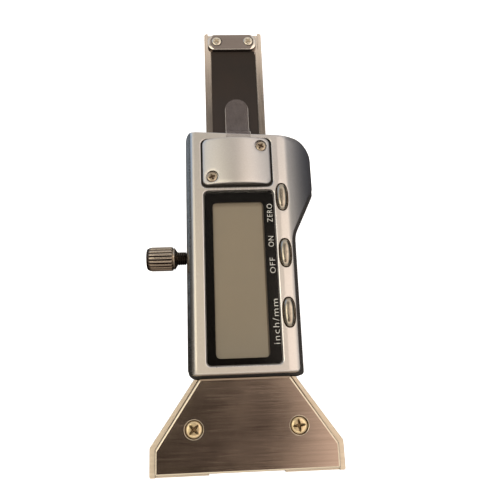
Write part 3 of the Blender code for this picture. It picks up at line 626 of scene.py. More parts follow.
def plastic(name, base, rough=0.45, grain=4.0, depth=0.25, spec=0.5, tint=0.15, glow=0.0):
    m, nt, b = shader(name, rough=rough, spec=spec, Emission_Strength=glow)
    vec, _ = place_coords(nt)
    g = noise(nt, vec, grain, 4, 0.6)
    c = noise(nt, vec, 0.15, 2, 0.5, (1, 1, 1), 2.0)
    col = mix_color(nt, line_range(nt, g, 0.3, 0.7, 0.0, 1.0), base, tuple(v * (1 + tint) for v in base))
    col = mix_color(nt, line_range(nt, c, 0.3, 0.7, 0.0, 0.4), col, tuple(v * (1 - tint) for v in base))
    nt.links.new(col, b.inputs["Base Color"])
    nt.links.new(line_range(nt, g, 0.3, 0.7, rough - 0.05, rough + 0.07), b.inputs["Roughness"])
    bump(nt, b, g, depth, 0.008)
    return m


def plated(name, base, dark, rough=0.2, top=None, depth=0.5, scale=3.0, metallic=1.0, bump_mm=0.006):
    """Plated metal; below its top face the colour darkens with depth: painted shade in the recesses."""
    m, nt, b = shader(name, metallic=metallic, rough=rough)
    vec, (x, y, z) = place_coords(nt)
    g = noise(nt, vec, scale, 4, 0.6)
    col = mix_color(nt, line_range(nt, g, 0.3, 0.7), base, tuple(v * 0.86 for v in base))
    if top is not None:
        # painted shade: darker the deeper a point lies below the top face
        k = smooth_range(nt, z, top - depth, top - 0.03, 1.0, 0.0)
        col = mix_color(nt, math_node(nt, "MULTIPLY", k, 0.85), col, dark)
    nt.links.new(col, b.inputs["Base Color"])
    nt.links.new(line_range(nt, g, 0.3, 0.7, rough - 0.04, rough + 0.08), b.inputs["Roughness"])
    bump(nt, b, g, 0.3, bump_mm)
    return m


def scale_film():
    m, nt, b = shader("scale_film", rough=0.55, spec=0.22)
    vec, (x, y, z) = place_coords(nt)
    g = noise(nt, vec, 2.2, 5, 0.65)
    c = noise(nt, vec, 0.16, 3, 0.5, (1, 1, 1), 4.0)
    col = mix_color(nt, line_range(nt, g, 0.3, 0.7), (0.028, 0.0195, 0.0150), (0.033, 0.0235, 0.0185))
    col = mix_color(nt, line_range(nt, c, 0.35, 0.7, 0.0, 0.7), col, (0.024, 0.0195, 0.0165))
    # a little lighter and greyer towards the housing
    col = mix_color(nt, smooth_range(nt, y, 50.0, 24.0, 0.0, 0.7), col, (0.042, 0.034, 0.032))
    nt.links.new(col, b.inputs["Base Color"])
    nt.links.new(line_range(nt, g, 0.3, 0.7, 0.50, 0.62), b.inputs["Roughness"])
    bump(nt, b, g, 0.2, 0.006)
    return m


def lcd_reflector(edge):
    """Blank reflective display: olive grey inside its active area, darker round it, faint cell structure."""
    m, nt, b = shader("lcd_reflector", rough=0.38, spec=0.4)
    vec, (x, y, z) = place_coords(nt)
    x0, x1, y0, y1 = edge
    ax, bx = (x0 - CX), (x1 - CX)
    ay, by = (y0 - CY), (y1 - CY)
    g = noise(nt, vec, 5.0, 4, 0.6)
    c = noise(nt, vec, 0.12, 3, 0.5)
    col = mix_color(nt, line_range(nt, g, 0.3, 0.7), (0.440, 0.384, 0.315), (0.465, 0.406, 0.335))
    col = mix_color(nt, line_range(nt, c, 0.35, 0.7, 0.0, 0.5), col, (0.432, 0.384, 0.322))
    col = mix_color(nt, smooth_range(nt, y, ay + 14, ay, 0.0, 0.6), col, (0.425, 0.388, 0.340))
    # darker border where the reflector ends under the mask; along the left the thin dark line is painted shade
    k = math_node(nt, "MAXIMUM", smooth_range(nt, x, bx - 0.05, bx + 0.12), smooth_range(nt, y, by - 0.1, by + 0.35))
    k = math_node(nt, "MAXIMUM", k, smooth_range(nt, x, ax + 0.10, ax - 0.12))
    # soft shade of the thick window edge along the top and the left
    sh = math_node(nt, "MAXIMUM", smooth_range(nt, y, by - 1.3, by - 0.1, 0.0, 0.55), smooth_range(nt, x, ax + 0.75, ax + 0.1, 0.0, 0.35))
    col = mix_color(nt, sh, col, (0.17, 0.135, 0.105))
    col = mix_color(nt, k, col, (0.150, 0.120, 0.095))
    nt.links.new(col, b.inputs["Base Color"])
    nt.links.new(line_range(nt, g, 0.3, 0.7, 0.34, 0.42), b.inputs["Roughness"])
    bump(nt, b, g, 0.12, 0.004)
    return m


def clear_pane():
    """Clear polished window: shows what is behind it, and mirrors a little."""
    m = bpy.data.materials.new("window_pane")
    m.use_nodes = True
    nt = m.node_tree
    nt.nodes.clear()
    out = node(nt, "ShaderNodeOutputMaterial")
    mixer = node(nt, "ShaderNodeMixShader")
    tr = node(nt, "ShaderNodeBsdfTransparent")
    tr.inputs["Color"].default_value = (0.93, 0.93, 0.91, 1)
    gl = node(nt, "ShaderNodeBsdfGlossy")
    gl.inputs["Color"].default_value = (1, 1, 1, 1)
    vec, _ = place_coords(nt)
    g = noise(nt, vec, 0.8, 3, 0.6)
    nt.links.new(line_range(nt, g, 0.3, 0.7, 0.05, 0.11), gl.inputs["Roughness"])
    fr = node(nt, "ShaderNodeFresnel")
    fr.inputs["IOR"].default_value = 1.33
    nt.links.new(fr.outputs[0], mixer.inputs[0])
    nt.links.new(tr.outputs[0], mixer.inputs[1])
    nt.links.new(gl.outputs[0], mixer.inputs[2])
    nt.links.new(mixer.outputs[0], out.inputs[0])
    return m


def clear_film(xc, half):
    """Thin translucent strip, its cut edges lighter than its middle."""
    m, nt, b = shader("clear_film", rough=0.3, spec=0.5)
    vec, (x, y, z) = place_coords(nt)
    g = noise(nt, vec, 0.7, 4, 0.6)
    d = math_node(nt, "ABSOLUTE", math_node(nt, "SUBTRACT", x, xc - CX))
    e = smooth_range(nt, d, half - 0.22, half - 0.04)
    col = mix_color(nt, line_range(nt, g, 0.3, 0.7), (0.30, 0.265, 0.270), (0.345, 0.305, 0.305))
    col = mix_color(nt, e, col, (0.60, 0.57, 0.54))
    nt.links.new(col, b.inputs["Base Color"])
    a = math_node(nt, "ADD", line_range(nt, g, 0.3, 0.7, 0.13, 0.18), math_node(nt, "MULTIPLY", e, 0.30))
    nt.links.new(a, b.inputs["Alpha"])
    return m


MAT = {}
MAT["silver"] = silver_coat("silver_coat")
MAT["silver_cover"] = silver_coat("silver_coat_cover", True)
# smoother, slightly brighter silver for the pocket rims: some wear, and a painted highlight
MAT["silver_edge"] = brushed("silver_edge_wear_and_highlight", (0.74, 0.735, 0.73), (0.68, 0.675, 0.67), "Y", 0.28, 3.0, 0.1, 0.0)
MAT["recess"] = plastic("recess_shade", (0.045, 0.038, 0.032), 0.55, 3.0, 0.2)
MAT["base_plate"] = brushed("steel_brushed_across", (0.61, 0.505, 0.42), (0.51, 0.415, 0.34), "X", 0.165, 11.0, 0.22, 0.05, slim=0.008)
# bright colour on the chamfer of the base face plate: painted highlight
MAT["plate_edge"] = brushed("steel_broken_edge_painted_highlight", (0.95, 0.86, 0.70), (0.84, 0.75, 0.60), "X", 0.22, 4.0, 0.1, 0.0)
MAT["base_rim"] = brushed("steel_satin_rim", (0.92, 0.83, 0.68), (0.80, 0.71, 0.57), "X", 0.46, 4.0, 0.3, 0.15)
MAT["beam"] = brushed("steel_ground_beam", (0.72, 0.655, 0.59), (0.60, 0.54, 0.48), "Y", 0.14, 4.0, 0.12, 0.12)
MAT["end_stop"] = brushed("steel_satin_plate", (0.36, 0.315, 0.29), (0.30, 0.26, 0.24), "X", 0.36, 5.0, 0.3, 0.1)
# near-white colour on the end stop's chamfer: painted highlight
MAT["end_stop_edge"] = brushed("steel_edge_painted_highlight", (0.92, 0.87, 0.80), (0.80, 0.75, 0.68), "X", 0.22, 5.0, 0.1, 0.0)
MAT["steel_hard"] = brushed("steel_fine_ground", (0.48, 0.47, 0.46), (0.36, 0.355, 0.35), "X", 0.24, 5.0, 0.25, 0.1)
MAT["frame"] = brushed("steel_frame", (0.55, 0.53, 0.50), (0.44, 0.42, 0.40), "Y", 0.34, 4.0, 0.3, 0.2)
MAT["black"] = plastic("black_plastic", (0.018, 0.0175, 0.018), 0.40, 4.0, 0.22)
MAT["mask"] = plastic("printed_black", (0.0030, 0.0024, 0.0022), 0.35, 6.0, 0.08, 0.06)
MAT["film"] = scale_film()
MAT["lcd"] = lcd_reflector((-6.75, 5.45, 24.0, 62.6))
MAT["pane"] = clear_pane()
MAT["pane_edge"] = plastic("window_cut_edge", (0.30, 0.29, 0.275), 0.35, 5.0, 0.1)
MAT["tab"] = clear_film(0.35, 3.1)
# the ink glows faintly (emission strength 0.22): painted light that keeps it white
MAT["ink"] = plastic("white_ink", (0.95, 0.94, 0.92), 0.5, 6.0, 0.1, 0.2, 0.03, 0.22)
MAT["button"] = plated("button_chrome", (0.54, 0.485, 0.40), (0.2, 0.15, 0.1), 0.19, None, 0.5, 1.5)
# dark brown finish on the button cap sides: painted shade of the gap round the button
MAT["button_flank_painted_shade"] = plated("button_flank_painted_shade", (0.16, 0.115, 0.075), (0.05, 0.03, 0.02), 0.30, None)
MAT["gilt_end"] = plated("gilt_end_stop", (0.86, 0.79, 0.66), (0.42, 0.35, 0.26), 0.26, 6.98, 0.45)
MAT["gilt_cover"] = plated("gilt_cover", (0.56, 0.47, 0.36), (0.10, 0.055, 0.03), 0.30, 14.55, 0.36)
MAT["gilt_base"] = plated("gilt_base", (0.88, 0.72, 0.45), (0.13, 0.075, 0.03), 0.29, 8.95, 0.75)
MAT["steel_screw"] = plated("steel_screw", (0.42, 0.41, 0.40), (0.10, 0.10, 0.10), 0.28, None)
MAT["brass"] = plated("brass", (0.72, 0.55, 0.28), (0.2, 0.12, 0.05), 0.28)
MAT["plate_alu"] = brushed("rear_plate_aluminium", (0.66, 0.655, 0.64), (0.55, 0.545, 0.53), "X", 0.36, 5.0, 0.3, 0.1)
MAT["board"] = plastic("circuit_board", (0.05, 0.15, 0.07), 0.42, 3.0, 0.3)
MAT["fibre"] = plastic("scale_board", (0.020, 0.021, 0.015), 0.5, 3.0, 0.3)
MAT["silicone"] = plastic("silicone", (0.28, 0.28, 0.29), 0.6, 3.0, 0.2)
MAT["holder"] = plastic("holder_plastic", (0.52, 0.52, 0.49), 0.5, 3.0, 0.2)
MAT["cell"] = plated("cell_steel", (0.60, 0.60, 0.59), (0.3, 0.3, 0.3), 0.25)


def knob_nickel(yk, zk):
    """Nickel plating, with painted shade between the ribs."""
    m, nt, b = shader("knob_nickel", metallic=1.0, rough=0.22)
    vec, (x, y, z) = place_coords(nt)
    dy = math_node(nt, "SUBTRACT", y, yk - CY)
    dz = math_node(nt, "SUBTRACT", z, zk)
    r = math_node(nt, "SQRT", math_node(nt, "ADD", math_node(nt, "MULTIPLY", dy, dy), math_node(nt, "MULTIPLY", dz, dz)))
    g = noise(nt, vec, 4.0, 4, 0.6)
    col = mix_color(nt, line_range(nt, g, 0.3, 0.7), (0.60, 0.52, 0.43), (0.52, 0.45, 0.37))
    # the side away from the window light is browner
    col = mix_color(nt, smooth_range(nt, dy, 0.6, -2.6, 0.0, 1.0), col, (0.34, 0.265, 0.20))
    # painted shade in the grooves between the ribs
    k = smooth_range(nt, r, 3.02, 2.84)
    low = smooth_range(nt, x, -16.9 - CX, -17.05 - CX)
    col = mix_color(nt, math_node(nt, "MULTIPLY", math_node(nt, "MULTIPLY", k, low), 0.93), col, (0.03, 0.018, 0.012))
    # painted shade on the stem: dark on its lower side, a little lighter towards +Y
    stem = smooth_range(nt, x, -16.05 - CX, -15.75 - CX)
    stem_painted_shade = mix_color(nt, smooth_range(nt, dy, 1.3, 0.2), (0.22, 0.18, 0.14), (0.045, 0.034, 0.028))
    col = mix_color(nt, stem, col, stem_painted_shade)
    nt.links.new(col, b.inputs["Base Color"])
    nt.links.new(line_range(nt, g, 0.3, 0.7, 0.18, 0.30), b.inputs["Roughness"])
    bump(nt, b, g, 0.3, 0.006)
    return m


# ------------------------------------------------------------------ dimensions shared with the solids
FRONT_Z, PART_Z = 14.0, 7.5
LEFT_X, RIGHT_X, BOTTOM_Y = -13.2, 12.68, 21.48
SLOPE_X, BUMP_X = 11.42, 18.95
WIN = (-8.80, 8.60, 23.17, 65.48)
LCD_OPEN = (-6.60, 5.86, 24.96, 62.83)
COVER = (-8.87, 8.06, 66.86, 79.00)
RECESS = (-9.25, 8.48, 66.16, 79.28)
LEDGE = (-9.17, 8.40, 66.74, 79.20)
CELL = (-0.40, 72.74)
BUTTONS = (("button_zero", "zero_key", 10.45, 63.46), ("button_power", "power_key", 10.53, 49.26), ("button_unit", "unit_key", 10.61, 34.98))
COVER_SCREWS = ((-6.50, 68.86), (5.83, 76.88))
BASE_SCREWS = ((-12.03, 9.65), (12.03, 9.65))
HOUSING_SCREWS = ((-10.1, 42.1), (9.6, 42.1), (-10.1, 74.5), (9.6, 74.5))
MOUNT_SCREWS = ((-10.1, 26.6), (9.8, 26.6))
KNOB_Y, MID_Z = 50.9, 4.5
FOOT_Y, BEAM_TOP = -0.5, 115.65
CREASE_X = 9.95
LEFT_R, LEFT_DROP = 2.4, 4.4     # width and height of the rounding along the left edge


def top_z(x):
    """Display face: flat, a shallow fall over the button strip, then the falling thumb rest."""
    if x < LEFT_X + LEFT_R:
        u = min(1.0, (LEFT_X + LEFT_R - x) / LEFT_R)
        return FRONT_Z - LEFT_DROP * (1 - math.sqrt(1 - u * u))
    if x <= CREASE_X - 0.16:
        return FRONT_Z
    k, h = 0.11, 0.16
    if x <= CREASE_X + h:
        t = x - (CREASE_X - h)
        return FRONT_Z - k * t * t / (4 * h)
    z = FRONT_Z - k * h - k * (x - CREASE_X - h)
    if x > SLOPE_X:
        u = x - SLOPE_X
        r = 0.9
        a, b = 0.29, 0.58
        if u < r:
            z -= a * u * u / (2 * r)
        else:
            z -= a * (u - r / 2)
        t = u / (BUMP_X - SLOPE_X)
        z -= (BUMP_X - SLOPE_X) * b * t * t / 2
    return z


def front_outline(steps=10):
    return fillet([(LEFT_X, BOTTOM_Y, 1.5), (RIGHT_X, BOTTOM_Y, 0.8), (RIGHT_X, 53.75, 8.0),
                   (BUMP_X, 67.00, 2.5), (BUMP_X, 79.70, 4.9), (LEFT_X, 81.58, 1.5)], steps)


def window_loop(inset, r):
    """Outline of the window opening, drawn in by inset."""
    x0, x1, y0, y1 = grow(WIN, -inset)
    return fillet([(x0, y0, r), (x1 + 0.08, y0, r), (x1 - 0.08, y1, r), (x0, y1, r)], 8)


def make_front():
    s = Solid()
    pts = refine(front_outline(), 1.2)
    nrm = outward(pts)
    rad = []
    for (x, y), (nx, ny) in zip(pts, nrm):
        rad.append(0.38 - 0.08 * max(0.0, -nx))
    rings = [[(x, y, PART_Z) for x, y in pts]]
    seg = 8
    for j in range(seg + 1):
        w = math.pi / 2 * j / seg
        ring = []
        for (x, y), (nx, ny), r in zip(pts, nrm, rad):
            d = r * (1 - math.cos(w))
            px, py = x - nx * d, y - ny * d
            ring.append((px, py, top_z(px) - r * (1 - math.sin(w))))
        rings.append(ring)
    for a, b in zip(rings, rings[1:]):
        s.strip(a, b)
    top = lambda x, y: top_z(x)
    holes = []

    def win_rim(nx, ny):
        return 0.10 + 0.10 * max(0.0, -nx) + 0.18 * max(0.0, nx) + 0.12 * max(0.0, -ny)

    def recess_rim(nx, ny):
        return 0.14 + 0.08 * max(0.0, -ny) + 0.08 * abs(nx)

    # the rims of the window and the battery recess take the edge silver: some wear, and a painted highlight
    win_top, win_floor = s.pocket(window_loop(0.0, 1.25), top, win_rim, 12.20, 4, False, 1, 2, True)
    holes.append(win_top)
    # battery recess: a narrow ledge, then the pocket that the cover sits in
    rec_top, rec_ledge = s.pocket(rrect(*RECESS, 1.5), top, recess_rim, 13.20, 4, False, 1, 2, True)
    holes.append(rec_top)
    inner = rrect(*LEDGE, 1.42)
    s.kind = 1
    s.sheet(rec_ledge, [[(x, y, 13.20) for x, y in inner]])
    rec_floor = [(x, y, 12.85) for x, y in inner]
    s.strip([(x, y, 13.20) for x, y in inner], rec_floor)
    s.kind = 0
    ovals = []
    for _, _, x, y in BUTTONS:
        t, f = s.pocket(oval(x, y, 1.60, 3.60, 56), top, 0.07, 11.35, 3, False, 1)
        holes.append(t)
        ovals.append(f)
    grid = []
    cols = [CREASE_X - 0.16, CREASE_X - 0.08, CREASE_X, CREASE_X + 0.08, CREASE_X + 0.16, 10.6, 11.0]
    x = 11.35
    while x < BUMP_X + 0.5:
        cols.append(x)
        x += 0.3 if x < 12.6 else 0.45
    cols += [-12.80, -12.68, -12.54, -12.38, -12.2, -12.0, -11.78, -11.54, -11.28, -11.03, LEFT_X + LEFT_R]
    for x in cols:
        y = BOTTOM_Y + 0.6
        while y < 81.5:
            grid.append((x, y))
            y += 0.9
    s.sheet(rings[-1], holes, top, grid, 0.1)
    s.kind = 1
    # ledge that the window rests on, and the display opening
    opening = rrect(-7.75, 7.35, 23.95, 64.3, 0.4, 3)
    lip = [(x, y, 12.20) for x, y in opening]
    s.sheet(win_floor, [lip])
    ceil_open = [(x, y, 11.35) for x, y in opening]
    s.strip(lip, ceil_open)
    # battery pocket floor with the battery well
    well = circle(*CELL, 6.1, 56)
    s.sheet(rec_floor, [[(x, y, 12.85) for x, y in well]])
    s.strip([(x, y, 12.85) for x, y in well], [(x, y, PART_Z) for x, y in well])
    # cavity under the display
    cav = rrect(-11.9, 12.05, 22.4, 64.9, 0.5, 3)
    s.sheet([(x, y, 11.35) for x, y in cav], [ceil_open] + ovals)
    s.strip([(x, y, 11.35) for x, y in cav], [(x, y, PART_Z) for x, y in cav])
    s.sheet(rings[0], [[(x, y, PART_Z) for x, y in cav], [(x, y, PART_Z) for x, y in well]])
    ob = s.object("housing_front_shell", [MAT["silver"], MAT["recess"], MAT["silver_edge"]], 38)
    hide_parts("front_housing")
    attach(ob, "slider")


def rear_outline(steps=10):
    return fillet([(LEFT_X, 20.9, 1.5), (14.05, 20.9, 0.9), (14.05, 55.5, 7.0),
                   (19.0, 65.8, 2.2), (19.0, 79.35, 4.9), (8.0, 79.60, 0), (LEFT_X, 81.42, 1.5)], steps)


def make_rear():
    pts = refine(rear_outline(), 2.0)
    # fine steps along the gripping flank, notched like a file
    ax, ay, bx, by = 15.30, 58.10, 18.75, 65.28
    ln = math.hypot(bx - ax, by - ay)
    ux, uy = (bx - ax) / ln, (by - ay) / ln
    out = []
    for a, b in zip(pts, pts[1:] + pts[:1]):
        t0 = (a[0] - ax) * ux + (a[1] - ay) * uy
        t1 = (b[0] - ax) * ux + (b[1] - ay) * uy
        near = abs((a[0] - ax) * uy - (a[1] - ay) * ux) < 1.3 and a[0] > 14.3
        out.append(a)
        if near and t1 > t0 and t1 > -0.5 and t0 < ln + 0.6:
            k = max(1, int(math.dist(a, b) / 0.10))
            for j in range(1, k):
                out.append((a[0] + (b[0] - a[0]) * j / k, a[1] + (b[1] - a[1]) * j / k))
    nrm = outward(out)
    fine = []
    for (x, y), (nx, ny) in zip(out, nrm):
        t = (x - ax) * ux + (y - ay) * uy
        near = abs((x - ax) * uy - (y - ay) * ux) < 1.3 and x > 14.3
        d = 0.0
        if near and -0.1 < t < ln + 0.1:
            ph = (t - 0.55) / 1.12
            d = 0.34 * max(0.0, math.cos(2 * math.pi * (ph - round(ph)))) ** 1.6 if -0.5 < ph < 6.5 else 0.0
        fine.append((x - nx * d, y - ny * d))
    s = Solid()
    rings = rounded_rings(fine, 0.0, PART_Z - 0.06, 0.10, 0.5, 4)
    s.loft(rings)
    w = raw(s)
    cut(w, block(-11.48, 11.48, 22.45, 77.2, 1.36, 9), block(-8.6, 8.6, 15, 90, 2.45, 6.62), block(-12.2, 12.2, 15, 31.15, -1, 1.42))
    cut(w, rod_x(-15, -11, KNOB_Y, MID_Z, 1.95, 48))
    for y in (36.2, 65.4):
        cut(w, rod_x(-15, -11, y, MID_Z, 1.15, 32))
    for x, y in HOUSING_SCREWS:
        cut(w, prism(circle(x, y, 1.15, 32), -1, 3), prism(circle(x, y, 1.98, 48), -1, 0.86))
    cut(w, prism(rrect(-7.5, 7.5, 44.5, 72.5, 1.2, 6), -1, 0.36))
    ob = take(w, "housing_rear_shell", MAT["black"], 30)
    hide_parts("rear_housing")
    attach(ob, "slider")


def cover_z(x):
    u = (x - (COVER[0] + COVER[1]) / 2) / ((COVER[1] - COVER[0]) / 2)
    return 14.02 + 1.595 * (1 - u * u)


def make_cover():
    s = Solid()
    pts = refine(rrect(*COVER, 1.35, 8), 0.5)
    nrm = outward(pts)
    rings = [[(x, y, 12.95) for x, y in pts]]
    for j in range(5):
        w = math.pi / 2 * j / 4
        d, h = 0.26 * (1 - math.cos(w)), 0.26 * (1 - math.sin(w))
        rings.append([(x - nx * d, y - ny * d, cover_z(x - nx * d) - h) for (x, y), (nx, ny) in zip(pts, nrm)])
    for a, b in zip(rings, rings[1:]):
        s.strip(a, b)
    top = lambda x, y: cover_z(x)
    holes, floors = [], []
    for x, y in COVER_SCREWS:
        t, f = s.pocket(circle(x, y, 1.5, 56), top, 0.10, 13.95, 3, floor=False)
        holes.append(t)
        inner = [(a, b, 13.95) for a, b in circle(x, y, 0.9, 32)]
        s.sheet(f, [inner])
        s.strip(inner, [(a, b, 12.95) for a, b, _ in inner])
        floors.append([(a, b, 12.95) for a, b, _ in inner])
    grid = [(-9 + 0.55 * i, 66.4 + 0.8 * j) for i in range(33) for j in range(17)]
    s.sheet(rings[-1], holes, top, grid, 0.3)
    hollow = circle(*CELL, 5.2, 56)
    s.sheet(rings[0], [[(x, y, 12.95) for x, y in hollow]] + floors)
    s.strip([(x, y, 12.95) for x, y in hollow], [(x, y, 14.02) for x, y in hollow])
    s.face([(x, y, 14.02) for x, y in hollow])
    ob = s.object("battery_cover_shell", MAT["silver_cover"], 38)
    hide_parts("battery_cover")
    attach(ob, "slider")


def make_window():
    s = Solid()
    rings = rounded_rings(window_loop(0.08, 1.17), 12.60, 13.62, 0.12, 0.0, 3)
    for i, (a, b) in enumerate(zip(rings, rings[1:])):
        s.kind = 1 if i >= 1 else 0
        s.strip(a, b)
    s.kind = 0
    s.face(rings[0][::-1])
    s.face(rings[-1])
    ob = s.object("window_pane", [MAT["pane"], MAT["pane_edge"]], 30)
    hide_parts("display_window")
    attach(ob, "slider")
    # printed border on the back of the window
    s = Solid()
    outer = window_loop(0.12, 1.13)
    inner = rrect(*LCD_OPEN, 1.1)
    lo_o, hi_o = [(x, y, 12.26) for x, y in outer], [(x, y, 12.54) for x, y in outer]
    lo_i, hi_i = [(x, y, 12.26) for x, y in inner], [(x, y, 12.54) for x, y in inner]
    s.sheet(hi_o, [hi_i])
    s.sheet(lo_o, [lo_i])
    s.strip(lo_o, hi_o)
    s.strip(lo_i, hi_i)
    ob = s.object("printed_border", MAT["mask"], 30)
    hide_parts("display_mask")
    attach(ob, "slider")


def lettering(name, text, x, y0, y1, height):
    """Function word beside a button, reading up along the beam."""
    cu = bpy.data.curves.new(name, "FONT")
    cu.body = text
    cu.size = 2.0
    cu.space_character = 1.18
    cu.offset = -0.022
    cu.resolution_u = 6
    tmp = bpy.data.objects.new("tmp_text", cu)
    bpy.context.scene.collection.objects.link(tmp)
    dg = bpy.context.evaluated_depsgraph_get()
    me = bpy.data.meshes.new_from_object(tmp.evaluated_get(dg))
    bpy.data.objects.remove(tmp, do_unlink=True)
    bpy.data.curves.remove(cu)
    bm = bmesh.new()
    bm.from_mesh(me)
    xs = [v.co.x for v in bm.verts]
    ys = [v.co.y for v in bm.verts]
    lx, hx, ly, hy = min(xs), max(xs), min(ys), max(ys)
    for v in bm.verts:
        u = (v.co.x - lx) / (hx - lx)
        h = (v.co.y - (ly + hy) / 2) / (hy - ly)
        v.co = Vector((x - h * height, y0 + u * (y1 - y0), 12.548))
    bmesh.ops.dissolve_limit(bm, angle_limit=math.radians(1), verts=bm.verts, edges=bm.edges)
    flat = bm.faces[:]
    got = bmesh.ops.extrude_face_region(bm, geom=flat)
    for v in [g for g in got["geom"] if isinstance(g, bmesh.types.BMVert)]:
        v.co.z += 0.03
    bm.to_mesh(me)
    bm.free()
    ob = settle(me, name, MAT["ink"], 30, False)
    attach(ob, "slider")


def make_lettering():
    lettering("word_zero", "ZERO", 7.36, 57.45, 62.15, 1.30)
    lettering("word_on", "ON", 7.36, 51.2, 53.85, 1.30)
    lettering("word_off", "OFF", 7.45, 44.65, 48.45, 1.30)
    lettering("word_unit", "inch/mm", 7.56, 27.9, 38.4, 1.46)


def make_buttons():
    for name, body, x, y in BUTTONS:
        s = Solid()
        rings = []
        prof = [(1.0, 2.2, 10.15), (1.0, 2.2, 11.1), (1.38, 4.1, 11.12), (1.38, 4.1, 12.0), (1.41, 3.40, 12.05), (1.41, 3.40, 13.80)]
        # thin lip, then one flat-topped dome over the whole cap
        prof += [(1.40, 3.39, 13.88), (1.375, 3.365, 13.93), (1.33, 3.32, 13.94), (1.31, 3.30, 13.97)]
        for r in (1.0, 0.985, 0.96, 0.93, 0.89, 0.84, 0.78, 0.70, 0.60, 0.48, 0.36, 0.22, 0.10, 0.016):
            k = max(0.0, 1 - r ** 4) ** 0.60
            prof.append((1.30 * r, 3.28 * (0.08 + 0.92 * r), 13.99 + 0.72 * k))
        for a, b, z in prof:
            ring = []
            for px, py in oval(x, y, a, b, 72, 2.5 if a > 0.6 else 2.3):
                u = (px - x) / 1.30
                # a slight crown, and a brighter facet along the right
                ring.append((px, py, z - (0.03 * u * u + 0.19 * max(0.0, u - 0.36) if z > 13.995 else 0.0)))
            rings.append(ring)
        s.face(rings[0][::-1])
        # the cap's sides and lip take the dark flank finish: painted shade of the gap round the button
        for i, (lo, hi) in enumerate(zip(rings, rings[1:])):
            s.kind = 1 if i < 8 else 0
            s.strip(lo, hi)
        s.kind = 0
        s.face(rings[-1])
        ob = s.object(name + "_cap", [MAT["button"], MAT["button_flank_painted_shade"]], 40)
        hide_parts(name)
        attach(ob, body)


def make_knob():
    ribs, per = 20, 12
    n = ribs * per
    prof = [(-23.5, 2.20, 0.0), (-23.47, 2.42, 0.0), (-23.38, 2.60, 0.0), (-23.22, 2.74, 0.03), (-22.95, 2.86, 0.11), (-22.62, 2.96, 0.22),
            (-22.25, 3.05, 0.32), (-21.0, 3.05, 0.32), (-19.5, 3.05, 0.32), (-18.0, 3.05, 0.32), (-17.30, 3.05, 0.32), (-17.18, 3.03, 0.24),
            (-17.10, 2.98, 0.10), (-17.02, 2.90, 0.0), (-16.94, 2.72, 0.0), (-16.88, 2.62, 0.0), (-16.82, 2.60, 0.0), (-16.74, 2.68, 0.0),
            (-16.60, 2.72, 0.0), (-16.50, 2.70, 0.0), (-16.42, 2.60, 0.0), (-16.2, 2.24, 0.0), (-16.0, 1.92, 0.0), (-15.88, 1.74, 0.0), (-15.80, 1.62, 0.0)]
    s = Solid()
    rings = []
    for x, r, d in prof:
        ring = []
        for i in range(n):
            w = 2 * math.pi * i / n
            ph = (i % per) / per
            e = min(ph, 1 - ph) / 0.30
            g = max(0.0, 1 - e)
            g = g * g * (3 - 2 * g)
            crown = 0.03 * (2 * abs(ph - 0.5)) ** 2
            rr = r - d * g - (crown if d > 0.1 else 0)
            ring.append((x, KNOB_Y + rr * math.cos(w), MID_Z + rr * math.sin(w)))
        rings.append(ring)
    # threaded stem, a true helix of 0.5 mm pitch
    x = -15.74
    while x < -10.25:
        ring = []
        big = x < -13.7
        crest, root = (1.70, 1.50) if big else (1.46, 1.30)
        for i in range(n):
            w = 2 * math.pi * i / n
            ph = (x / 0.5 - w / (2 * math.pi)) % 1.0
            g = 1 - abs(2 * ph - 1)
            rr = root + (crest - root) * min(1.0, g * 1.25)
            ring.append((x, KNOB_Y + rr * math.cos(w), MID_Z + rr * math.sin(w)))
        rings.append(ring)
        x += 0.0625
    rings.append([(-10.0, KNOB_Y + 1.1 * math.cos(2 * math.pi * i / n), MID_Z + 1.1 * math.sin(2 * math.pi * i / n)) for i in range(n)])
    s.loft(rings)
    ob = s.object("lock_screw_knob", knob_nickel(KNOB_Y, MID_Z), 40)
    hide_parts("thumb_screw")
    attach(ob, "lock_knob")


def make_beam():
    h = 8.0
    body = fillet([(-2.6, 7.2, 0.3), (2.6, 7.2, 0.3), (2.6, 10.2, 0.3), (h - 0.2, 14.5, 0.5), (h, BEAM_TOP, 0.75),
                   (-h, BEAM_TOP, 0.75), (-h + 0.2, 14.5, 0.5), (-2.6, 10.2, 0.3)], 6)
    body = [(max(-h, min(h, x)), y) for x, y in body]
    w = prism(body, 2.75, 6.25)
    cut(w, block(-h + 1.72, h - 1.72, 20.0, 109.6, 5.05, 8))
    cut(w, prism(rrect(-6.95, 6.95, 109.2, BEAM_TOP + 4, 1.9, 8), 5.35, 8))
    s = Solid()
    s.loft([[(0.94 * math.cos(2 * math.pi * i / 32), yy, MID_Z + 0.94 * math.sin(2 * math.pi * i / 32)) for i in range(32)] for yy in (4.0, 14.0)])
    cut(w, raw(s))
    for x in (-4.4, 4.4):
        cut(w, prism(circle(x, 112.85, 0.88, 24), 1, 8))
    ob = take(w, "beam_ground", MAT["beam"], 30, 0.09, 2, 40)
    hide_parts("beam")
    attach(ob, "beam_group")


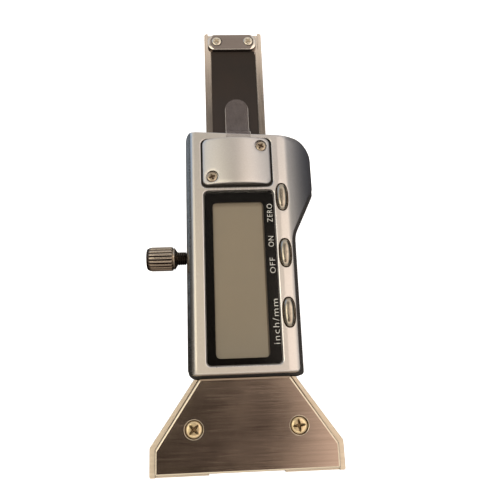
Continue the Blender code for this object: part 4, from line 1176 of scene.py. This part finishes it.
def make_end_stop():
    s = Solid()
    y0, y1 = 110.25, 114.98
    pts = fillet([(-7.0, y0, 1.9), (6.5, y0, 1.9), (6.5, y1, 1.9), (-7.0, y1, 1.9)], 12)
    nrm = outward(pts)
    rings = [[(x, y, 5.42) for x, y in pts]]

    # broad shallow chamfer round the ends, hardly any along the long edges
    def lip(nx):
        return max(0.0, min(1.0, (abs(nx) - 0.12) / 0.5))
    for d_end, d_side, z in ((0.0, 0.0, 6.50), (0.02, 0.02, 6.60), (0.06, 0.05, 6.645), (0.10, 0.08, 6.66), (0.66, 0.13, 6.81), (0.74, 0.16, 6.82)):
        ring = []
        for (x, y), (nx, ny) in zip(pts, nrm):
            k = lip(nx)
            d = d_side + (d_end - d_side) * k
            ring.append((x - nx * d, y - ny * d, z + (1 - k) * (6.82 - z) * 0.55))
        rings.append(ring)
    # the chamfer rings take the bright edge finish: painted highlight
    for i, (a, b) in enumerate(zip(rings, rings[1:])):
        s.kind = 1 if i >= 1 else 0
        s.strip(a, b)
    s.kind = 0
    top = lambda x, y: 6.82
    holes, lows = [], []
    for x in (-4.4, 4.4):
        t, f = s.pocket(circle(x, 112.75, 1.42, 56), top, 0.07, 6.35, 2, floor=False)
        holes.append(t)
        inner = circle(x, 112.75, 0.88, 32)
        s.sheet(f, [[(a, b, 6.35) for a, b in inner]])
        s.strip([(a, b, 6.35) for a, b in inner], [(a, b, 5.42) for a, b in inner])
        lows.append([(a, b, 5.42) for a, b in inner])
    s.sheet(rings[-1], holes)
    s.sheet(rings[0], lows)
    ob = s.object("end_stop_bar", [MAT["end_stop"], MAT["end_stop_edge"]], 35)
    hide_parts("end_stop_plate")
    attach(ob, "beam_group")
    # dark cover strip of the scale, running up to the end stop
    s = Solid()
    s.loft(rounded_rings(rrect(-6.16, 6.02, 20.3, 110.1, 0.15, 3), 5.70, 5.90, 0.05, 0.0, 2))
    ob = s.object("scale_cover", MAT["film"], 35)
    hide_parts("scale_cover_film")
    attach(ob, "beam_group")


def cross_cutter(cx, cy, z, arm, width, depth, turn, up):
    """Tapering cross recess: four wings that narrow towards the bottom."""
    sgn = 1 if up else -1

    def outline(a, w, zz):
        ring = []
        for q in range(4):
            t = math.radians(turn + 90 * q)
            c, s_ = math.cos(t), math.sin(t)
            for u, v in ((w * 1.15, -w * 1.15), (a * 0.8, -w * 0.80), (a, -w * 0.42), (a, w * 0.42), (a * 0.8, w * 0.80)):
                ring.append((cx + u * c - v * s_, cy + u * s_ + v * c, zz))
        return ring

    s = Solid()
    s.loft([outline(arm * 1.12, width * 1.08, z + sgn * 0.3), outline(arm, width, z - sgn * 0.02), outline(arm * 0.72, width * 0.72, z - sgn * depth * 0.6),
            outline(arm * 0.34, width * 0.42, z - sgn * depth)])
    return raw(s)


def screw(name, node_name, body, mat, cx, cy, z_head, r, h_head, shank, z_tip, up=True, dome=0.25, turn=45.0, arm=0.66, width=0.17, deep=0.5, n=56):
    sgn = 1 if up else -1
    prof = [(shank * 0.55, z_tip), (shank * 0.95, z_tip + sgn * 0.35), (shank, z_tip + sgn * 0.45), (shank, z_head - sgn * h_head), (r * 0.97, z_head - sgn * h_head),
            (r, z_head - sgn * (h_head - 0.05)), (r, z_head - sgn * (dome + 0.06))]
    for j in range(1, 7):
        w = math.pi / 2 * j / 6
        # domed face with a rounded rim
        rr = r * (0.50 + 0.50 * math.cos(w) ** 0.9) if j < 6 else r * 0.46
        prof.append((rr, z_head - sgn * dome * (1 - math.sin(w))))
    s = Solid()
    s.loft([[(x, y, z) for x, y in circle(cx, cy, rr, n)] for rr, z in prof])
    w = raw(s)
    cut(w, cross_cutter(cx, cy, z_head, r * arm, r * width, deep, turn, up))
    ob = take(w, name, mat, 34)
    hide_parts(node_name)
    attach(ob, body)


def make_screws():
    for side, x, t in (("left", -4.4, 40.0), ("right", 4.4, 52.0)):
        screw("end_screw_" + side, "end_stop_screw_" + side, "beam_group", MAT["gilt_end"], x - 0.12, 112.85, 6.98, 1.32, 0.55, 0.78, 3.0,
              True, 0.22, t, 0.60, 0.19, 0.40)
    for side, (x, y), t in (("lower", COVER_SCREWS[0], 20.0), ("upper", COVER_SCREWS[1], 60.0)):
        screw("cover_screw_" + side, "battery_cover_screw_" + side, "slider", MAT["gilt_cover"], x, y, 14.55, 1.32, 0.55, 0.72, 11.0,
              True, 0.26, t, 0.62, 0.18, 0.42)
    for side, (x, y), t in (("left", BASE_SCREWS[0], 45.0), ("right", BASE_SCREWS[1], 6.0)):
        screw("foot_screw_" + side, "base_screw_" + side, "slider", MAT["gilt_base"], x, y, 8.95, 1.98, 1.35, 1.0, 2.0,
              True, 0.46, t, 0.76, 0.155, 0.85, 72)
    for i, (x, y) in enumerate(HOUSING_SCREWS):
        screw("case_screw_%d" % (i + 1), "housing_screw_%d" % (i + 1), "slider", MAT["steel_screw"], x, y, 0.12, 1.85, 0.66, 0.95, 10.6,
              False, 0.2, 15.0 + 37 * i, 0.6, 0.17, 0.45, 40)
    for side, (x, y), t in (("left", MOUNT_SCREWS[0], 30.0), ("right", MOUNT_SCREWS[1], 70.0)):
        screw("frame_screw_" + side, "tongue_screw_" + side, "slider", MAT["steel_screw"], x, y, 0.12, 1.68, 0.6, 0.95, 5.6,
              False, 0.2, t, 0.6, 0.17, 0.42, 40)


def make_base():
    r = 0.35
    foot, shoulder, half_top, top = 22.25, 6.00, 12.05, 20.72
    pts = fillet([(-foot, FOOT_Y, 0.45), (foot, FOOT_Y, 0.45), (foot, shoulder, 0.9), (half_top, top, 0), (-half_top, top, 0), (-foot, shoulder, 0.9)], 8)
    w = prism(pts, 0.0, 7.2)
    cut(w, prism(fillet([(-20.95, -3, 0), (20.95, -3, 0), (20.95, 5.50, 0.6), (8.85, 24.0, 0), (-8.85, 24.0, 0), (-20.95, 5.50, 0.6)], 6), 6.32, 9))
    cut(w, block(-8.85, 8.55, -2, 24, 2.60, 9))
    tongue = prism(fillet([(-12.05, 19.5, 0), (12.05, 19.5, 0), (12.05, 31.0, 0.8), (-12.05, 31.0, 0.8)], 5), 0.0, 1.30)
    cut(w, tongue, op="UNION")
    for x, y in BASE_SCREWS:
        cut(w, prism(circle(x, y, 1.15, 32), 1.6, 9))
    for x, y in MOUNT_SCREWS:
        cut(w, prism(circle(x, y, 1.12, 32), -1, 3), prism(circle(x, y, 1.80, 40), -1, 0.78))
    ob = take(w, "base_body", MAT["base_rim"], 30, 0.16, 3, 40)
    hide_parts("base_block")
    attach(ob, "slider")

    s = Solid()
    pp = fillet([(-20.82, 0.14, 0.35), (20.82, 0.14, 0.35), (20.82, 5.44, 0.9), (10.54, 20.76, 0.5), (-10.54, 20.76, 0.5), (-20.82, 5.44, 0.9)], 8)
    nrm = outward(pp)
    rings = [[(x, y, 6.38) for x, y in pp], [(x, y, 8.80) for x, y in pp]]
    for d, z in ((0.02, 8.86), (0.06, 8.90), (0.34, 8.985), (0.40, 9.0)):
        rings.append([(x - nx * d, y - ny * d, z) for (x, y), (nx, ny) in zip(pp, nrm)])
    for i, (a, b) in enumerate(zip(rings, rings[1:])):
        for j in range(len(a)):
            k = (j + 1) % len(a)
            # the chamfer takes the bright edge finish, a painted highlight, except along the top edge, left plain as it
            # lies in the housing's shade
            s.kind = 1 if i >= 1 and nrm[j][1] + nrm[k][1] < 1.8 else 0
            s.face([a[j], a[k], b[k], b[j]])
    s.kind = 0
    top_f = lambda x, y: 9.0
    holes, lows = [], []
    for x, y in BASE_SCREWS:
        t, f = s.pocket(circle(x, y, 2.12, 72), top_f, 0.13, 7.5, 3, False, 0, 1)
        holes.append(t)
        inner = circle(x, y, 1.15, 32)
        s.sheet(f, [[(a, b, 7.5) for a, b in inner]])
        s.strip([(a, b, 7.5) for a, b in inner], [(a, b, 6.38) for a, b in inner])
        lows.append([(a, b, 6.38) for a, b in inner])
    s.sheet(rings[-1], holes)
    s.sheet(rings[0], lows)
    ob = s.object("base_face_plate", [MAT["base_plate"], MAT["plate_edge"]], 32)
    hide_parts("base_front_plate")
    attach(ob, "slider")


def make_pin():
    prof = [(0.20, FOOT_Y + 0.13), (0.30, FOOT_Y + 0.16), (0.82, FOOT_Y + 0.70), (0.9, FOOT_Y + 0.84), (0.9, 13.6), (0.84, 13.7)]
    s = Solid()
    s.loft([[(rr * math.cos(2 * math.pi * i / 48), y, MID_Z + rr * math.sin(2 * math.pi * i / 48)) for i in range(48)] for rr, y in prof])
    ob = s.object("depth_pin", MAT["steel_hard"], 35)
    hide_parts("measuring_pin")
    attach(ob, "beam_group")


def make_tab():
    """Clear battery pull strip: from under the cover, over the upper edge, down to the beam."""
    route = [(78.75, 14.20), (79.40, 14.20), (80.0, 14.20), (80.45, 14.18), (80.95, 13.95)]
    p0, p1, p2, p3 = Vector((80.95, 13.95)), Vector((82.6, 12.9)), Vector((82.4, 7.9)), Vector((86.5, 7.45))
    for i in range(1, 19):
        t = i / 18
        q = p0 * (1 - t) ** 3 + p1 * 3 * t * (1 - t) ** 2 + p2 * 3 * t * t * (1 - t) + p3 * t ** 3
        route.append((q.x, q.y))
    xc, hw, tip = 0.35, 3.1, 94.2
    route += [(87.5, 7.40), (89.0, 7.35)]
    halves = [hw] * len(route)
    for i in range(0, 17):
        a = math.radians(5.45 * i)
        route.append((tip - hw + hw * math.sin(a), 7.33))
        halves.append(max(0.12, hw * math.cos(a)))
    th = 0.075
    s = Solid()
    cols = []
    n = len(route)
    for i, ((y, z), h) in enumerate(zip(route, halves)):
        a = Vector(route[max(0, i - 1)])
        b = Vector(route[min(n - 1, i + 1)])
        t = (b - a).normalized()
        ny, nz = -t.y * th, t.x * th
        cols.append([(xc - h, y + ny, z + nz), (xc + h, y + ny, z + nz), (xc + h, y - ny, z - nz), (xc - h, y - ny, z - nz)])
    s.loft(cols)
    ob = s.object("pull_strip", MAT["tab"], 40)
    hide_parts("battery_pull_tab")
    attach(ob, "slider")


def make_rear_plate():
    s = Solid()
    s.loft(rounded_rings(rrect(-7.35, 7.35, 44.65, 72.35, 1.05, 8), 0.06, 0.30, 0.0, 0.08, 3))
    ob = s.object("rear_plate", MAT["plate_alu"], 30)
    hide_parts("rear_label_plate")
    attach(ob, "slider")


def dress_nodes():
    """Finishes of the solids that stay as they are."""
    for name, key in (("scale_board", "fibre"), ("slider_frame", "frame"), ("rear_guide_plate", "frame"),
                      ("gib_strip", "brass"), ("gib_screw_lower", "steel_screw"), ("gib_screw_upper", "steel_screw"), ("lock_pad", "brass"),
                      ("lcd_glass", "lcd"), ("lcd_holder", "holder"), ("zebra_strip", "silicone"), ("main_circuit_board", "board"),
                      ("key_mat", "silicone"), ("battery_cell", "cell"), ("battery_contact_negative", "brass"), ("battery_contact_positive", "brass")):
        ob = frame["nodes"][name]
        if not ob.material_slots:
            ob.data.materials.append(MAT[key])
        for sl in ob.material_slots:
            sl.material = MAT[key]


make_front()
make_rear()
make_cover()
make_window()
make_lettering()
make_buttons()
make_knob()
make_beam()
make_end_stop()
make_screws()
make_base()
make_pin()
make_tab()
make_rear_plate()
dress_nodes()

# ------------------------------------------------------------------ floor
fm = bpy.data.meshes.new("floor")
fm.from_pydata([(-3, -3, -0.0002), (3, -3, -0.0002), (3, 3, -0.0002), (-3, 3, -0.0002)], [], [(0, 1, 2, 3)])
floor = bpy.data.objects.new("floor", fm)
bpy.context.scene.collection.objects.link(floor)
fmat, fnt, fb = shader("pale_floor", (0.9, 0.9, 0.9), 0.0, 0.8, 0.2)
fb.inputs["Emission Color"].default_value = (1, 1, 1, 1)
fb.inputs["Emission Strength"].default_value = 0.92
fm.materials.append(fmat)
floor.visible_glossy = False
